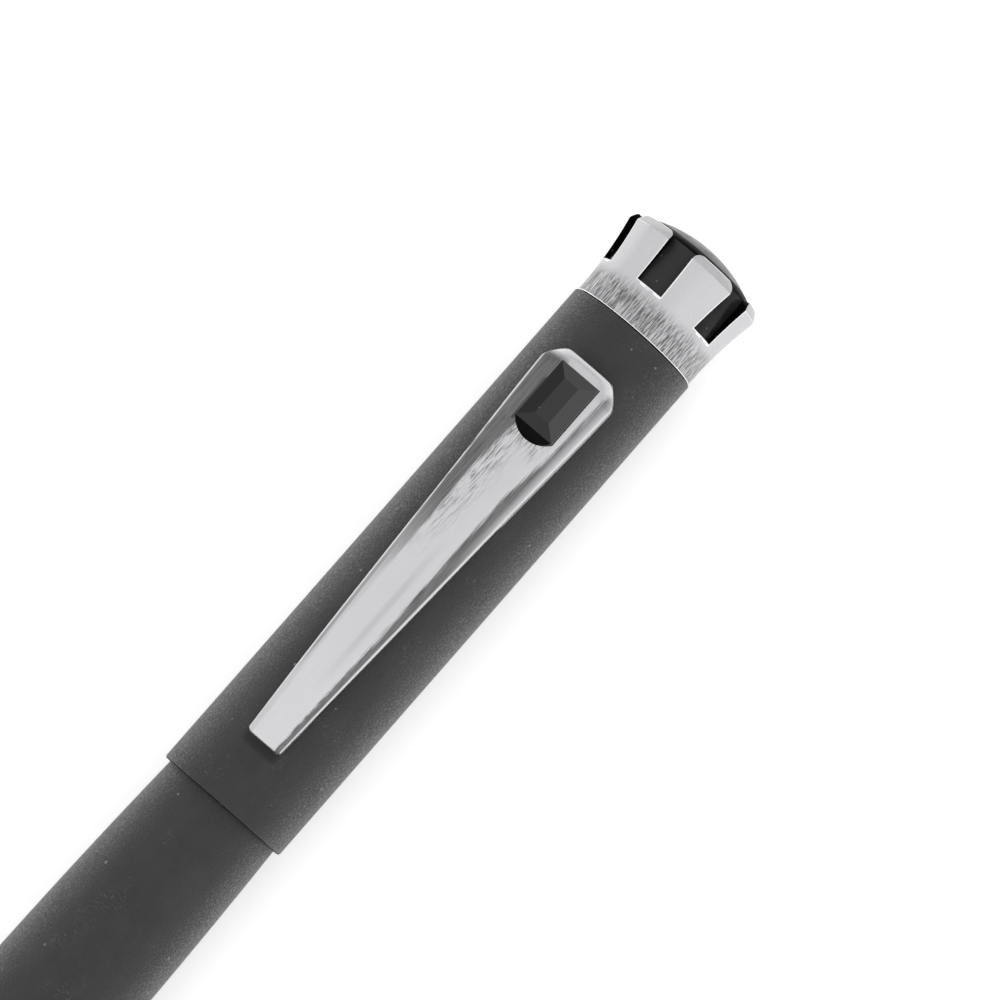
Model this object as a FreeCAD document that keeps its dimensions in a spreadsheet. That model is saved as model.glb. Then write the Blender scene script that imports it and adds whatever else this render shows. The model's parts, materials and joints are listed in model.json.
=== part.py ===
import FreeCAD, Part
import Sketcher
import math
import os

from FreeCAD import Rotation, Vector

# Counterfeit detector pen: an iodine-ink marker with an ultraviolet lamp in the cap's crown.
# Every sketch measures x from the tail end (0) to the crown's dome, and z up through the clip.
# Lengths are in millimetres, and each one below is a named cell of the sheet.

SIZES = {
    # whole pen
    "overall_length": 141.1,
    # cap: a plain tube, open at the lip, closed by the crown
    "lip_x": 77.0,
    "crown_base_x": 130.95,
    "cap_radius": 6.5,
    "cap_bore_radius": 6.0,
    "cap_edge_round": 0.12,
    "cap_lip_chamfer": 0.12,
    "stem_x": 121.15,
    "stem_hole_radius": 1.35,
    # liner that guides the section inside the cap
    "liner_start_x": 80.8,
    "liner_end_x": 97.9,
    "liner_radius": 5.97,
    "liner_bore_radius": 5.5,
    "liner_lead_in": 0.25,
    # inner cap that keeps the nib from drying
    "inner_cap_start_x": 98.0,
    "inner_cap_end_x": 116.15,
    "inner_cap_radius": 5.97,
    "inner_cap_mouth_radius": 4.4,
    "inner_cap_seat_x": 103.7,
    "inner_cap_seat_length": 1.2,
    "inner_cap_bore_radius": 3.3,
    "inner_cap_bore_end_x": 114.85,
    "seal_x": 101.0,
    "seal_radius": 4.56,
    "seal_cord_radius": 0.28,
    "seal_groove_radius": 4.86,
    "seal_groove_half_width": 0.3,
    # clip, its hinge and its spring
    "clip_tip_x": 83.3,
    "clip_tip_half_width": 1.78,
    "clip_tip_rim": 7.25,
    "clip_tip_crest": 7.65,
    "clip_tip_flat": 1.5,
    "clip_low_x": 92.0,
    "clip_low_half_width": 2.28,
    "clip_low_rim": 7.75,
    "clip_low_crest": 8.25,
    "clip_low_flat": 1.8,
    "clip_mid_x": 103.0,
    "clip_mid_half_width": 2.84,
    "clip_mid_rim": 7.9,
    "clip_mid_crest": 8.5,
    "clip_mid_flat": 1.98,
    "clip_high_x": 112.0,
    "clip_high_half_width": 3.28,
    "clip_high_rim": 7.9,
    "clip_high_crest": 8.66,
    "clip_high_flat": 2.2,
    "clip_head_x": 119.95,
    "clip_head_half_width": 3.72,
    "clip_head_rim": 7.9,
    "clip_head_crest": 8.75,
    "clip_head_flat": 2.72,
    "clip_end_x": 125.9,
    "clip_end_half_width": 3.94,
    "clip_end_rim": 7.9,
    "clip_end_crest": 8.78,
    "clip_end_flat": 2.9,
    "clip_crown_drop": 0.14,
    "clip_underside": 6.55,
    "clip_toe_end_x": 86.0,
    "clip_gap_start_x": 88.4,
    "clip_gap_height": 7.45,
    "clip_gap_end_x": 109.9,
    "clip_cheek_start_x": 110.9,
    "clip_cheek_height": 6.6,
    "clip_channel_half_width": 2.55,
    "clip_channel_start_x": 112.85,
    "clip_channel_end_x": 124.85,
    "clip_roof_height": 8.0,
    "clip_end_wall_height": 7.2,
    "clip_head_corner_length": 1.95,
    "clip_head_corner_width": 2.45,
    "clip_tip_corner_length": 0.35,
    "clip_tip_corner_width": 1.45,
    "hinge_x": 115.85,
    "hinge_height": 7.25,
    "hinge_pin_radius": 0.4,
    "hinge_pin_half_length": 3.3,
    "hinge_hole_radius": 0.44,
    "ear_round": 0.66,
    "ear_outer": 2.3,
    "ear_inner": 1.25,
    "bracket_start_x": 114.15,
    "bracket_end_x": 117.05,
    "bracket_foot_height": 6.78,
    "coil_window_half_length": 0.78,
    "torsion_coil_radius": 0.57,
    "torsion_wire_radius": 0.09,
    "torsion_coil_pitch": 0.42,
    "torsion_coil_length": 2.1,
    "torsion_leg_length": 1.3,
    "torsion_foot_length": 0.7,
    # push-button in the clip's head
    "button_tail_x": 117.5,
    "button_start_x": 118.5,
    "button_end_x": 124.65,
    "button_half_width": 2.05,
    "button_end_arc": 2.6,
    "button_underside": 7.95,
    "button_shoulder": 9.2,
    "button_top": 9.86,
    "button_tail_height": 8.62,
    "button_facet": 1.15,
    "button_side_facet": 1.28,
    "button_window_gap": 0.06,
    "flange_start_x": 117.1,
    "flange_end_x": 124.35,
    "flange_half_width": 2.45,
    "flange_underside": 7.45,
    "stem_radius": 1.0,
    "stem_end_height": 5.4,
    "button_coil_radius": 1.62,
    "button_wire_radius": 0.12,
    "button_coil_pitch": 0.34,
    "button_coil_length": 0.66,
    "button_coil_base": 6.64,
    # switch leaf between the plunger and the lamp
    "leaf_start_x": 118.15,
    "leaf_bend_x": 119.35,
    "leaf_crest_start_x": 120.45,
    "leaf_crest_end_x": 121.85,
    "leaf_unbend_x": 122.95,
    "leaf_end_x": 129.25,
    "leaf_height": 4.4,
    "leaf_crest_height": 5.1,
    "leaf_thickness": 0.18,
    "leaf_half_width": 1.1,
    # battery sleeve and cells
    "sleeve_start_x": 116.25,
    "sleeve_floor_x": 116.95,
    "sleeve_end_x": 126.65,
    "sleeve_radius": 5.96,
    "sleeve_bore_radius": 4.05,
    "sleeve_slot_half_width": 1.5,
    "sleeve_slot_start_x": 117.65,
    "cell_start_x": 118.55,
    "cell_length": 3.6,
    "cell_can_length": 3.15,
    "cell_radius": 3.95,
    "cell_pole_radius": 3.15,
    "cell_edge_round": 0.3,
    "battery_coil_radius": 2.9,
    "battery_wire_radius": 0.15,
    "battery_coil_pitch": 0.52,
    "battery_coil_length": 1.2,
    "battery_coil_start_x": 117.13,
    # crown ring with its spigot
    "spigot_start_x": 126.85,
    "spigot_radius": 5.95,
    "spigot_bore_radius": 5.0,
    "crown_band_radius": 6.34,
    "crown_band_end_x": 132.45,
    "crown_rim_x": 138.75,
    "crown_rim_radius": 7.1,
    "crown_flare_arc": 38.0,
    "crown_edge_arc": 0.75,
    "crown_top_x": 139.6,
    "crown_top_radius": 6.62,
    "crown_bore_radius": 6.12,
    "crown_step_x": 131.95,
    "slot_floor_x": 134.5,
    "slot_half_width": 1.36,
    "slot_mouth_round": 0.6,
    "slot_turn": 8.4,
    "slot_count": 6.0,
    "ring_groove_start_x": 128.05,
    "ring_groove_end_x": 129.05,
    "ring_groove_radius": 5.42,
    "ring_x": 128.55,
    "ring_radius": 5.69,
    "ring_cord_radius": 0.26,
    # window, lamp and lamp holder inside the crown
    "window_start_x": 132.05,
    "window_radius": 6.08,
    "window_edge_x": 139.3,
    "window_shoulder_x": 139.8,
    "window_shoulder_radius": 5.6,
    "window_edge_arc": 0.6,
    "window_flange_bore": 3.0,
    "window_flange_end_x": 133.05,
    "window_bore_radius": 2.55,
    "window_bore_end_x": 137.4,
    "window_tip_x": 139.95,
    "lamp_base_x": 131.8,
    "lamp_flange_end_x": 132.8,
    "lamp_flange_radius": 2.9,
    "lamp_radius": 2.5,
    "lamp_body_end_x": 137.35,
    "lamp_tip_x": 139.85,
    "holder_start_x": 129.85,
    "holder_end_x": 131.75,
    "holder_radius": 4.97,
    "lead_offset": 1.27,
    "lead_radius": 0.25,
    "lead_hole_radius": 0.3,
    "long_lead_start_x": 129.81,
    "short_lead_start_x": 130.55,
    "plate_start_x": 129.45,
    "plate_end_x": 129.77,
    "plate_radius": 3.2,
    # barrel
    "barrel_start_x": 5.6,
    "barrel_end_x": 79.0,
    "barrel_start_radius": 4.896,
    "barrel_end_radius": 5.816,
    "barrel_arc": 615.0,
    "barrel_bore_radius": 4.3,
    "barrel_bore_start_x": 9.6,
    "barrel_step_x": 65.8,
    "barrel_socket_radius": 5.28,
    "barrel_tail_bore": 3.9,
    "insert_start_x": 66.2,
    "insert_end_x": 78.0,
    "insert_radius": 5.26,
    "insert_bore_radius": 4.9,
    "thread_pitch": 0.8,
    "thread_depth": 0.22,
    "thread_turns": 7.0,
    "thread_start_x": 70.4,
    # tail
    "tail_ring_start_x": 1.6,
    "tail_ring_radius": 4.78,
    "tail_ring_edge": 0.35,
    "tail_ring_bore": 3.4,
    "tail_spigot_end_x": 9.3,
    "tail_spigot_radius": 3.88,
    "tail_plug_edge_radius": 4.2,
    "tail_plug_flange_end_x": 1.58,
    "tail_plug_spigot_end_x": 7.8,
    "tail_plug_spigot_radius": 3.38,
    "refill_coil_radius": 3.1,
    "refill_wire_radius": 0.2,
    "refill_coil_pitch": 1.5,
    "refill_coil_length": 9.9,
    "refill_coil_start_x": 9.9,
    # section with its rings
    "section_start_x": 66.0,
    "section_end_x": 103.2,
    "section_thread_radius": 4.84,
    "section_thread_end_x": 77.4,
    "section_ring_seat_x": 78.9,
    "section_ring_seat_radius": 5.0,
    "section_collar_x": 80.6,
    "section_collar_radius": 5.4,
    "section_collar_end_x": 83.6,
    "section_waist_x": 98.4,
    "section_waist_radius": 4.1,
    "section_grip_arc": 130.0,
    "section_lip_radius": 4.27,
    "section_lip_x": 99.6,
    "section_nose_round": 0.5,
    "section_bore_radius": 3.4,
    "section_bore_step_x": 95.0,
    "section_nose_bore_radius": 3.0,
    "snap_x": 82.1,
    "snap_radius": 5.12,
    "snap_cord_radius": 0.3,
    "snap_groove_radius": 4.8,
    "snap_groove_half_width": 0.34,
    "coupling_start_x": 79.05,
    "coupling_end_x": 80.58,
    "coupling_radius": 5.8,
    "coupling_bore_radius": 5.02,
    "coupling_edge": 0.15,
    # nib and ink
    "holder_tail_x": 95.3,
    "holder_tail_radius": 2.98,
    "nose_flange_x": 103.25,
    "nose_flange_end_x": 104.0,
    "nose_flange_radius": 2.95,
    "nose_shoulder_radius": 2.7,
    "nose_end_x": 109.2,
    "nose_end_radius": 1.45,
    "nose_bore_radius": 1.02,
    "nib_start_x": 88.0,
    "nib_shoulder_x": 111.2,
    "nib_end_x": 113.1,
    "nib_radius": 1.0,
    "nib_point_radius": 0.3,
    "nib_point_arc": 3.2,
    "cartridge_start_x": 22.0,
    "cartridge_end_x": 94.6,
    "cartridge_radius": 3.36,
    "cartridge_bore_radius": 3.0,
    "wick_start_x": 24.6,
    "wick_end_x": 93.6,
    "wick_radius": 2.96,
    "wick_hole_start_x": 87.6,
    "wick_hole_radius": 1.03,
    "cartridge_plug_start_x": 20.4,
    "cartridge_plug_flange_end_x": 21.98,
    "cartridge_plug_end_x": 24.4,
    "cartridge_plug_radius": 3.36,
    "cartridge_plug_spigot_radius": 2.98,
}

CLIP_STATIONS = ("tip", "low", "mid", "high", "head", "end")
DOME = "centred on the axis"

doc = FreeCAD.newDocument("DetectorPen")
sheet = doc.addObject("Spreadsheet::Sheet", "Sizes")
for row, (alias, size) in enumerate(SIZES.items(), start=1):
    sheet.set(f"A{row}", alias)
    sheet.set(f"B{row}", str(size))
    sheet.setAlias(f"B{row}", alias)
doc.recompute()


def number(text):
    """The value of a sum such as 'lip_x + 2 * cap_radius'."""
    total = 0.0
    for term in text.replace("- ", "+ -").split("+ "):
        sign, value = 1.0, 1.0
        term = term.strip()
        if term.startswith("-"):
            sign, term = -1.0, term[1:].strip()
        if not term:
            continue
        for factor in term.split(" * "):
            factor = factor.strip()
            value *= SIZES[factor] if factor in SIZES else float(factor)
        total += sign * value
    return total


def formula(text):
    """The same sum, written for the expression engine."""
    words = text.replace("-", " - ").split()
    return " ".join(f"Sizes.{word}" if word in SIZES else word for word in words)


def new_body(label):
    body = doc.addObject("PartDesign::Body", label)
    body.Label = label
    return body


def sketch_on(body, role, name, offset=None):
    plane = [item for item in body.Origin.OriginFeatures if item.Role == role][0]
    sketch = body.newObject("Sketcher::SketchObject", name)
    sketch.AttachmentSupport = [(plane, "")]
    sketch.MapMode = "FlatFace"
    if offset:
        sketch.setExpression("AttachmentOffset.Base.z", formula(offset))
    return sketch


def arc_between(start, end, radius, side):
    """An arc from start to end. With side 1 its centre is on the left of that line."""
    (ax, ay), (bx, by) = start, end
    chord = math.hypot(bx - ax, by - ay)
    reach = math.sqrt(radius * radius - chord * chord / 4)
    cx = (ax + bx) / 2 - side * reach * (by - ay) / chord
    cy = (ay + by) / 2 + side * reach * (bx - ax) / chord
    first = math.atan2(ay - cy, ax - cx)
    last = math.atan2(by - cy, bx - cx)
    if side < 0:
        first, last = last, first
    if last < first:
        last += 2 * math.pi
    circle = Part.Circle(Vector(cx, cy, 0), Vector(0, 0, 1), radius)
    return Part.ArcOfCircle(circle, first, last)


def dome_radius(start, end):
    """The radius of the arc through two points whose centre lies on the pen's axis."""
    (ax, ay), (bx, by) = start, end
    centre = (bx * bx + by * by - ax * ax - ay * ay) / (2 * (bx - ax))
    return math.hypot(ax - centre, ay)


def outline(sketch, points, arcs=None):
    """A closed profile. arcs maps an edge's number to its radius, or DOME, and its side."""
    arcs = arcs or {}
    base = len(sketch.Geometry)
    places = [(number(x), number(y)) for x, y in points]
    count = len(points)
    ends = []
    for index, start in enumerate(places):
        end = places[(index + 1) % count]
        if index in arcs:
            radius, side = arcs[index]
            size = dome_radius(start, end) if radius == DOME else number(radius)
            edge = sketch.addGeometry(arc_between(start, end, size, side), False)
            ends.append((edge, 1, 2) if side > 0 else (edge, 2, 1))
        else:
            line = Part.LineSegment(Vector(*start, 0), Vector(*end, 0))
            edge = sketch.addGeometry(line, False)
            ends.append((edge, 1, 2))
    for index in range(count):
        edge, _, last = ends[index]
        after, first, _ = ends[(index + 1) % count]
        sketch.addConstraint(Sketcher.Constraint("Coincident", edge, last, after, first))
    for index, (x, y) in enumerate(points):
        edge, first, _ = ends[index]
        anchor_point(sketch, edge, first, x, y)
    for index, (radius, _) in arcs.items():
        if radius == DOME:
            centre = Sketcher.Constraint("PointOnObject", base + index, 3, -1)
            sketch.addConstraint(centre)
            continue
        constraint = Sketcher.Constraint("Radius", base + index, number(radius))
        bound = sketch.addConstraint(constraint)
        sketch.setExpression(f"Constraints[{bound}]", formula(radius))
    return sketch


def anchor_point(sketch, edge, end, x, y):
    """Ties an edge's chosen end to the sheet."""
    for kind, text in (("DistanceX", x), ("DistanceY", y)):
        value = number(text)
        if abs(value) < 1e-9:
            axis = -1 if kind == "DistanceY" else -2
            sketch.addConstraint(Sketcher.Constraint("PointOnObject", edge, end, axis))
            continue
        if value > 0:
            constraint = Sketcher.Constraint(kind, -1, 1, edge, end, value)
            bound = formula(text)
        else:
            constraint = Sketcher.Constraint(kind, edge, end, -1, 1, -value)
            bound = f"-({formula(text)})"
        index = sketch.addConstraint(constraint)
        sketch.setExpression(f"Constraints[{index}]", bound)


def circle_in(sketch, x, y, radius):
    circle = Part.Circle(Vector(number(x), number(y), 0), Vector(0, 0, 1), number(radius))
    edge = sketch.addGeometry(circle, False)
    anchor_point(sketch, edge, 3, x, y)
    index = sketch.addConstraint(Sketcher.Constraint("Radius", edge, number(radius)))
    sketch.setExpression(f"Constraints[{index}]", formula(radius))
    return sketch


def rectangle(sketch, x0, x1, y0, y1):
    return outline(sketch, [(x0, y0), (x1, y0), (x1, y1), (x0, y1)])


def revolve(body, points, arcs=None, name="Turned"):
    sketch = outline(sketch_on(body, "XY_Plane", f"{name}Profile"), points, arcs)
    feature = body.newObject("PartDesign::Revolution", name)
    feature.Profile = sketch
    feature.ReferenceAxis = (sketch, ["H_Axis"])
    feature.Angle = 360
    body.Tip = feature
    return feature


def groove(body, points, name="Groove", arcs=None):
    sketch = outline(sketch_on(body, "XY_Plane", f"{name}Profile"), points, arcs)
    feature = body.newObject("PartDesign::Groove", name)
    feature.Profile = sketch
    feature.ReferenceAxis = (sketch, ["H_Axis"])
    feature.Angle = 360
    body.Tip = feature
    return feature


def pad(body, sketch, length, name="Pad", symmetric=False, backwards=False):
    feature = body.newObject("PartDesign::Pad", name)
    feature.Profile = sketch
    feature.setExpression("Length", formula(length))
    feature.Midplane = symmetric
    feature.Reversed = backwards
    body.Tip = feature
    return feature


def pocket(body, sketch, name="Pocket", symmetric=False, backwards=False, length="overall_length"):
    feature = body.newObject("PartDesign::Pocket", name)
    feature.Profile = sketch
    feature.setExpression("Length", formula(length))
    feature.Midplane = symmetric
    feature.Reversed = backwards
    body.Tip = feature
    return feature


def coil(body, sketch, axis, pitch, length, name="Coil"):
    feature = body.newObject("PartDesign::AdditiveHelix", name)
    feature.Profile = sketch
    feature.ReferenceAxis = (sketch, [axis])
    feature.Mode = 0
    feature.setExpression("Pitch", formula(pitch))
    feature.setExpression("Height", formula(length))
    body.Tip = feature
    return feature


def round_edges(body, feature, radius, wanted, name="Round", kind="PartDesign::Fillet"):
    """Rounds or chamfers each edge for which wanted() is true."""
    doc.recompute()
    names = [f"Edge{n}" for n, edge in enumerate(feature.Shape.Edges, start=1) if wanted(edge)]
    edge_feature = body.newObject(kind, name)
    edge_feature.Base = (feature, names)
    size = "Radius" if kind.endswith("Fillet") else "Size"
    edge_feature.setExpression(size, formula(radius))
    body.Tip = edge_feature
    return edge_feature


def ring_at(x, radius):
    """Picks the circular edges of one radius round the pen's axis."""
    x, radius = number(x), number(radius)

    def wanted(edge):
        box = edge.BoundBox
        return (
            abs(box.XMin - x) < 0.01
            and abs(box.XMax - x) < 0.01
            and abs(box.ZMax - radius) < 0.01
        )

    return wanted


def place(body, x="0", z="0", turn=None):
    """Stands the piece in the shared frame: middle at x = 0, lowest point at z = 0."""
    if turn:
        body.Placement = FreeCAD.Placement(Vector(), Rotation(Vector(1, 0, 0), -number(turn)))
    body.setExpression("Placement.Base.x", f"{formula(x)} - Sizes.overall_length / 2")
    body.setExpression("Placement.Base.z", f"{formula(z)} + Sizes.crown_rim_radius")
    return body


def tube(label, start, end, radius, bore):
    body = new_body(label)
    revolve(body, [(start, bore), (end, bore), (end, radius), (start, radius)])
    return place(body)


def torus(label, x, radius, cord):
    body = new_body(label)
    sketch = circle_in(sketch_on(body, "XY_Plane", "Cord"), x, radius, cord)
    feature = body.newObject("PartDesign::Revolution", "Turned")
    feature.Profile = sketch
    feature.ReferenceAxis = (sketch, ["H_Axis"])
    feature.Angle = 360
    body.Tip = feature
    return place(body)


def cap_shell():
    body = new_body("cap_shell")
    shell = revolve(
        body,
        [
            ("lip_x", "cap_bore_radius"),
            ("crown_base_x", "cap_bore_radius"),
            ("crown_base_x", "cap_radius"),
            ("lip_x", "cap_radius"),
        ],
    )
    edge = ring_at("crown_base_x", "cap_radius")
    rounded = round_edges(body, shell, "cap_edge_round", edge)
    lip = ring_at("lip_x", "cap_radius")
    round_edges(body, rounded, "cap_lip_chamfer", lip, "LipEdge", "PartDesign::Chamfer")
    hole = circle_in(sketch_on(body, "XY_Plane", "StemHole"), "stem_x", "0", "stem_hole_radius")
    pocket(body, hole, "StemPocket", backwards=True, length="cap_radius + 1")
    return place(body)


def cap_liner():
    body = new_body("cap_liner")
    revolve(
        body,
        [
            ("liner_start_x", "liner_bore_radius + liner_lead_in"),
            ("liner_start_x + liner_lead_in", "liner_bore_radius"),
            ("liner_end_x", "liner_bore_radius"),
            ("liner_end_x", "liner_radius"),
            ("liner_start_x", "liner_radius"),
        ],
    )
    return place(body)


def inner_cap():
    body = new_body("inner_cap")
    revolve(
        body,
        [
            ("inner_cap_end_x", "0"),
            ("inner_cap_end_x", "inner_cap_radius"),
            ("inner_cap_start_x", "inner_cap_radius"),
            ("inner_cap_start_x", "inner_cap_mouth_radius"),
            ("inner_cap_seat_x", "inner_cap_mouth_radius"),
            ("inner_cap_seat_x + inner_cap_seat_length", "inner_cap_bore_radius"),
            ("inner_cap_bore_end_x", "inner_cap_bore_radius"),
            ("inner_cap_bore_end_x", "0"),
        ],
    )
    groove(
        body,
        [
            ("seal_x - seal_groove_half_width", "inner_cap_mouth_radius - 0.1"),
            ("seal_x + seal_groove_half_width", "inner_cap_mouth_radius - 0.1"),
            ("seal_x + seal_groove_half_width", "seal_groove_radius"),
            ("seal_x - seal_groove_half_width", "seal_groove_radius"),
        ],
    )
    return place(body)


def clip_section(body, station):
    """One cross-section of the clip: level underside, upright rims, flanks and a low crest."""
    name = f"clip_{station}"
    sketch = sketch_on(body, "YZ_Plane", f"Section{station.title()}", f"{name}_x")
    edge = f"{name}_crest - clip_crown_drop"
    return outline(
        sketch,
        [
            (f"-{name}_half_width", "clip_underside"),
            (f"{name}_half_width", "clip_underside"),
            (f"{name}_half_width", f"{name}_rim"),
            (f"{name}_flat", edge),
            ("0", f"{name}_crest"),
            (f"-{name}_flat", edge),
            (f"-{name}_half_width", f"{name}_rim"),
        ],
    )


def pocket_clip():
    body = new_body("pocket_clip")
    sections = [clip_section(body, station) for station in CLIP_STATIONS]
    loft = body.newObject("PartDesign::AdditiveLoft", "Spine")
    loft.Profile = sections[0]
    loft.Sections = sections[1:]
    loft.Ruled = False
    body.Tip = loft

    underside = outline(
        sketch_on(body, "XZ_Plane", "Underside"),
        [
            ("clip_toe_end_x", "clip_underside - 0.5"),
            ("clip_end_x + 1", "clip_underside - 0.5"),
            ("clip_end_x + 1", "clip_cheek_height"),
            ("clip_cheek_start_x", "clip_cheek_height"),
            ("clip_gap_end_x", "clip_gap_height"),
            ("clip_gap_start_x", "clip_gap_height"),
            ("clip_toe_end_x", "clip_underside"),
        ],
    )
    pocket(body, underside, "GapPocket", symmetric=True)

    channel = rectangle(
        sketch_on(body, "XY_Plane", "Channel", "clip_underside - 1"),
        "clip_channel_start_x",
        "clip_channel_end_x",
        "-clip_channel_half_width",
        "clip_channel_half_width",
    )
    depth = "clip_roof_height - clip_underside + 1"
    pocket(body, channel, "ChannelPocket", backwards=True, length=depth)

    relief = rectangle(
        sketch_on(body, "XY_Plane", "EndRelief", "clip_underside - 1"),
        "clip_channel_end_x - 0.1",
        "clip_end_x + 1",
        "-clip_channel_half_width",
        "clip_channel_half_width",
    )
    depth = "clip_end_wall_height - clip_underside + 1"
    pocket(body, relief, "ReliefPocket", backwards=True, length=depth)

    window = button_outline(
        sketch_on(body, "XY_Plane", "Window", "clip_underside"), "button_window_gap"
    )
    pocket(body, window, "WindowPocket", backwards=True)

    corners = sketch_on(body, "XY_Plane", "Corners")
    for side in ("", "-"):
        outline(
            corners,
            [
                ("clip_end_x - clip_head_corner_length", f"{side}clip_end_half_width"),
                ("clip_end_x", f"{side}clip_head_corner_width"),
                ("clip_end_x + 1", f"{side}clip_head_corner_width"),
                ("clip_end_x + 1", f"{side}5"),
                ("clip_end_x - clip_head_corner_length", f"{side}5"),
            ],
        )
        outline(
            corners,
            [
                ("clip_tip_x + clip_tip_corner_length", f"{side}clip_tip_half_width"),
                ("clip_tip_x", f"{side}clip_tip_corner_width"),
                ("clip_tip_x - 1", f"{side}clip_tip_corner_width"),
                ("clip_tip_x - 1", f"{side}5"),
                ("clip_tip_x + clip_tip_corner_length", f"{side}5"),
            ],
        )
    pocket(body, corners, "CornerPocket", backwards=True)

    bore = sketch_on(body, "XZ_Plane", "PinBore")
    circle_in(bore, "hinge_x", "hinge_height", "hinge_pin_radius")
    pocket(body, bore, "PinPocket", symmetric=True)
    return place(body)


def button_outline(sketch, gap=None):
    """The button's plan: a rectangle whose lower end is a shallow arc."""
    grow = f" + {gap}" if gap else ""
    shrink = f" - {gap}" if gap else ""
    half = f"button_half_width{grow}"
    low = f"-button_half_width{shrink}"
    return outline(
        sketch,
        [
            ("button_start_x", low),
            (f"button_end_x{grow}", low),
            (f"button_end_x{grow}", half),
            ("button_start_x", half),
        ],
        {3: (f"button_end_arc{grow}", 1)},
    )


def clip_button():
    body = new_body("clip_button")
    plan = button_outline(sketch_on(body, "XY_Plane", "Plan", "button_underside"))
    pad(body, plan, "button_shoulder - button_underside", "Block")
    slope = outline(
        sketch_on(body, "XZ_Plane", "TailSlope"),
        [
            ("button_tail_x - 1", "button_tail_height"),
            ("button_tail_x", "button_tail_height"),
            ("button_start_x", "button_shoulder"),
            ("button_start_x", "button_top + 1"),
            ("button_tail_x - 1", "button_top + 1"),
        ],
    )
    pocket(body, slope, "SlopePocket", symmetric=True)
    foot = rectangle(
        sketch_on(body, "XY_Plane", "RoofFoot", "button_shoulder"),
        "button_start_x",
        "button_end_x",
        "-button_half_width",
        "button_half_width",
    )
    table = rectangle(
        sketch_on(body, "XY_Plane", "Table", "button_top"),
        "button_start_x + button_facet",
        "button_end_x - button_facet",
        "-button_half_width + button_side_facet",
        "button_half_width - button_side_facet",
    )
    roof = body.newObject("PartDesign::AdditiveLoft", "Roof")
    roof.Profile = foot
    roof.Sections = [table]
    roof.Ruled = True
    body.Tip = roof
    return place(body)


def button_plunger():
    body = new_body("button_plunger")
    flange = rectangle(
        sketch_on(body, "XY_Plane", "Flange", "flange_underside"),
        "flange_start_x",
        "flange_end_x",
        "-flange_half_width",
        "flange_half_width",
    )
    pad(body, flange, "button_underside - flange_underside", "FlangePad")
    stem = sketch_on(body, "XY_Plane", "Stem", "stem_end_height")
    circle_in(stem, "stem_x", "0", "stem_radius")
    pad(body, stem, "flange_underside - stem_end_height", "StemPad")
    return place(body)


def button_spring():
    body = new_body("button_spring")
    wire = sketch_on(body, "XZ_Plane", "Wire")
    circle_in(wire, "button_coil_radius", "button_coil_base", "button_wire_radius")
    coil(body, wire, "V_Axis", "button_coil_pitch", "button_coil_length")
    return place(body, x="stem_x")


def clip_bracket():
    body = new_body("clip_bracket")
    foot = rectangle(
        sketch_on(body, "XZ_Plane", "Foot"),
        "bracket_start_x",
        "bracket_end_x",
        "cap_bore_radius",
        "bracket_foot_height",
    )
    pad(body, foot, "2 * ear_outer", "FootPad", symmetric=True)
    ear = outline(
        sketch_on(body, "XZ_Plane", "Ear"),
        [
            ("hinge_x - ear_round", "cap_bore_radius"),
            ("hinge_x + ear_round", "cap_bore_radius"),
            ("hinge_x + ear_round", "hinge_height"),
            ("hinge_x - ear_round", "hinge_height"),
        ],
        {2: ("ear_round", 1)},
    )
    pad(body, ear, "2 * ear_outer", "EarPad", symmetric=True)
    window = rectangle(
        sketch_on(body, "XY_Plane", "CoilWindow"),
        "hinge_x - coil_window_half_length",
        "hinge_x + coil_window_half_length",
        "-ear_inner",
        "ear_inner",
    )
    pocket(body, window, "WindowPocket", backwards=True)
    bore = sketch_on(body, "XZ_Plane", "PinBore")
    circle_in(bore, "hinge_x", "hinge_height", "hinge_hole_radius")
    pocket(body, bore, "PinPocket", symmetric=True)
    groove(
        body,
        [
            ("bracket_start_x - 1", "0"),
            ("bracket_end_x + 1", "0"),
            ("bracket_end_x + 1", "cap_radius"),
            ("bracket_start_x - 1", "cap_radius"),
        ],
        "CapSeat",
    )
    return place(body)


def clip_pin():
    body = new_body("clip_pin")
    end = circle_in(sketch_on(body, "XZ_Plane", "End"), "hinge_x", "hinge_height", "hinge_pin_radius")
    pad(body, end, "2 * hinge_pin_half_length", "Shaft", symmetric=True)
    return place(body)


def clip_spring():
    body = new_body("clip_spring")
    start = "-0.5 * torsion_coil_length"
    wire = circle_in(
        sketch_on(body, "XY_Plane", "Wire"), "torsion_coil_radius", start, "torsion_wire_radius"
    )
    coil(body, wire, "V_Axis", "torsion_coil_pitch", "torsion_coil_length")
    for name, side, height, length, backwards in (
        ("Leg", "0.5 * torsion_coil_length", "torsion_coil_radius", "torsion_leg_length", False),
        ("Foot", start, "-torsion_coil_radius", "torsion_foot_length", True),
    ):
        leg = circle_in(
            sketch_on(body, "YZ_Plane", name), side, height, "torsion_wire_radius"
        )
        pad(body, leg, length, f"{name}Pad", backwards=backwards)
    return place(body, "hinge_x", "hinge_height")


def contact_leaf():
    body = new_body("contact_leaf")
    bends = [
        ("leaf_start_x", "leaf_height"),
        ("leaf_bend_x", "leaf_height"),
        ("leaf_crest_start_x", "leaf_crest_height"),
        ("leaf_crest_end_x", "leaf_crest_height"),
        ("leaf_unbend_x", "leaf_height"),
        ("leaf_end_x", "leaf_height"),
    ]
    upper = [(x, f"{height} + leaf_thickness") for x, height in reversed(bends)]
    side = outline(sketch_on(body, "XZ_Plane", "Side"), bends + upper)
    pad(body, side, "2 * leaf_half_width", "Strip", symmetric=True)
    return place(body)


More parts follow.
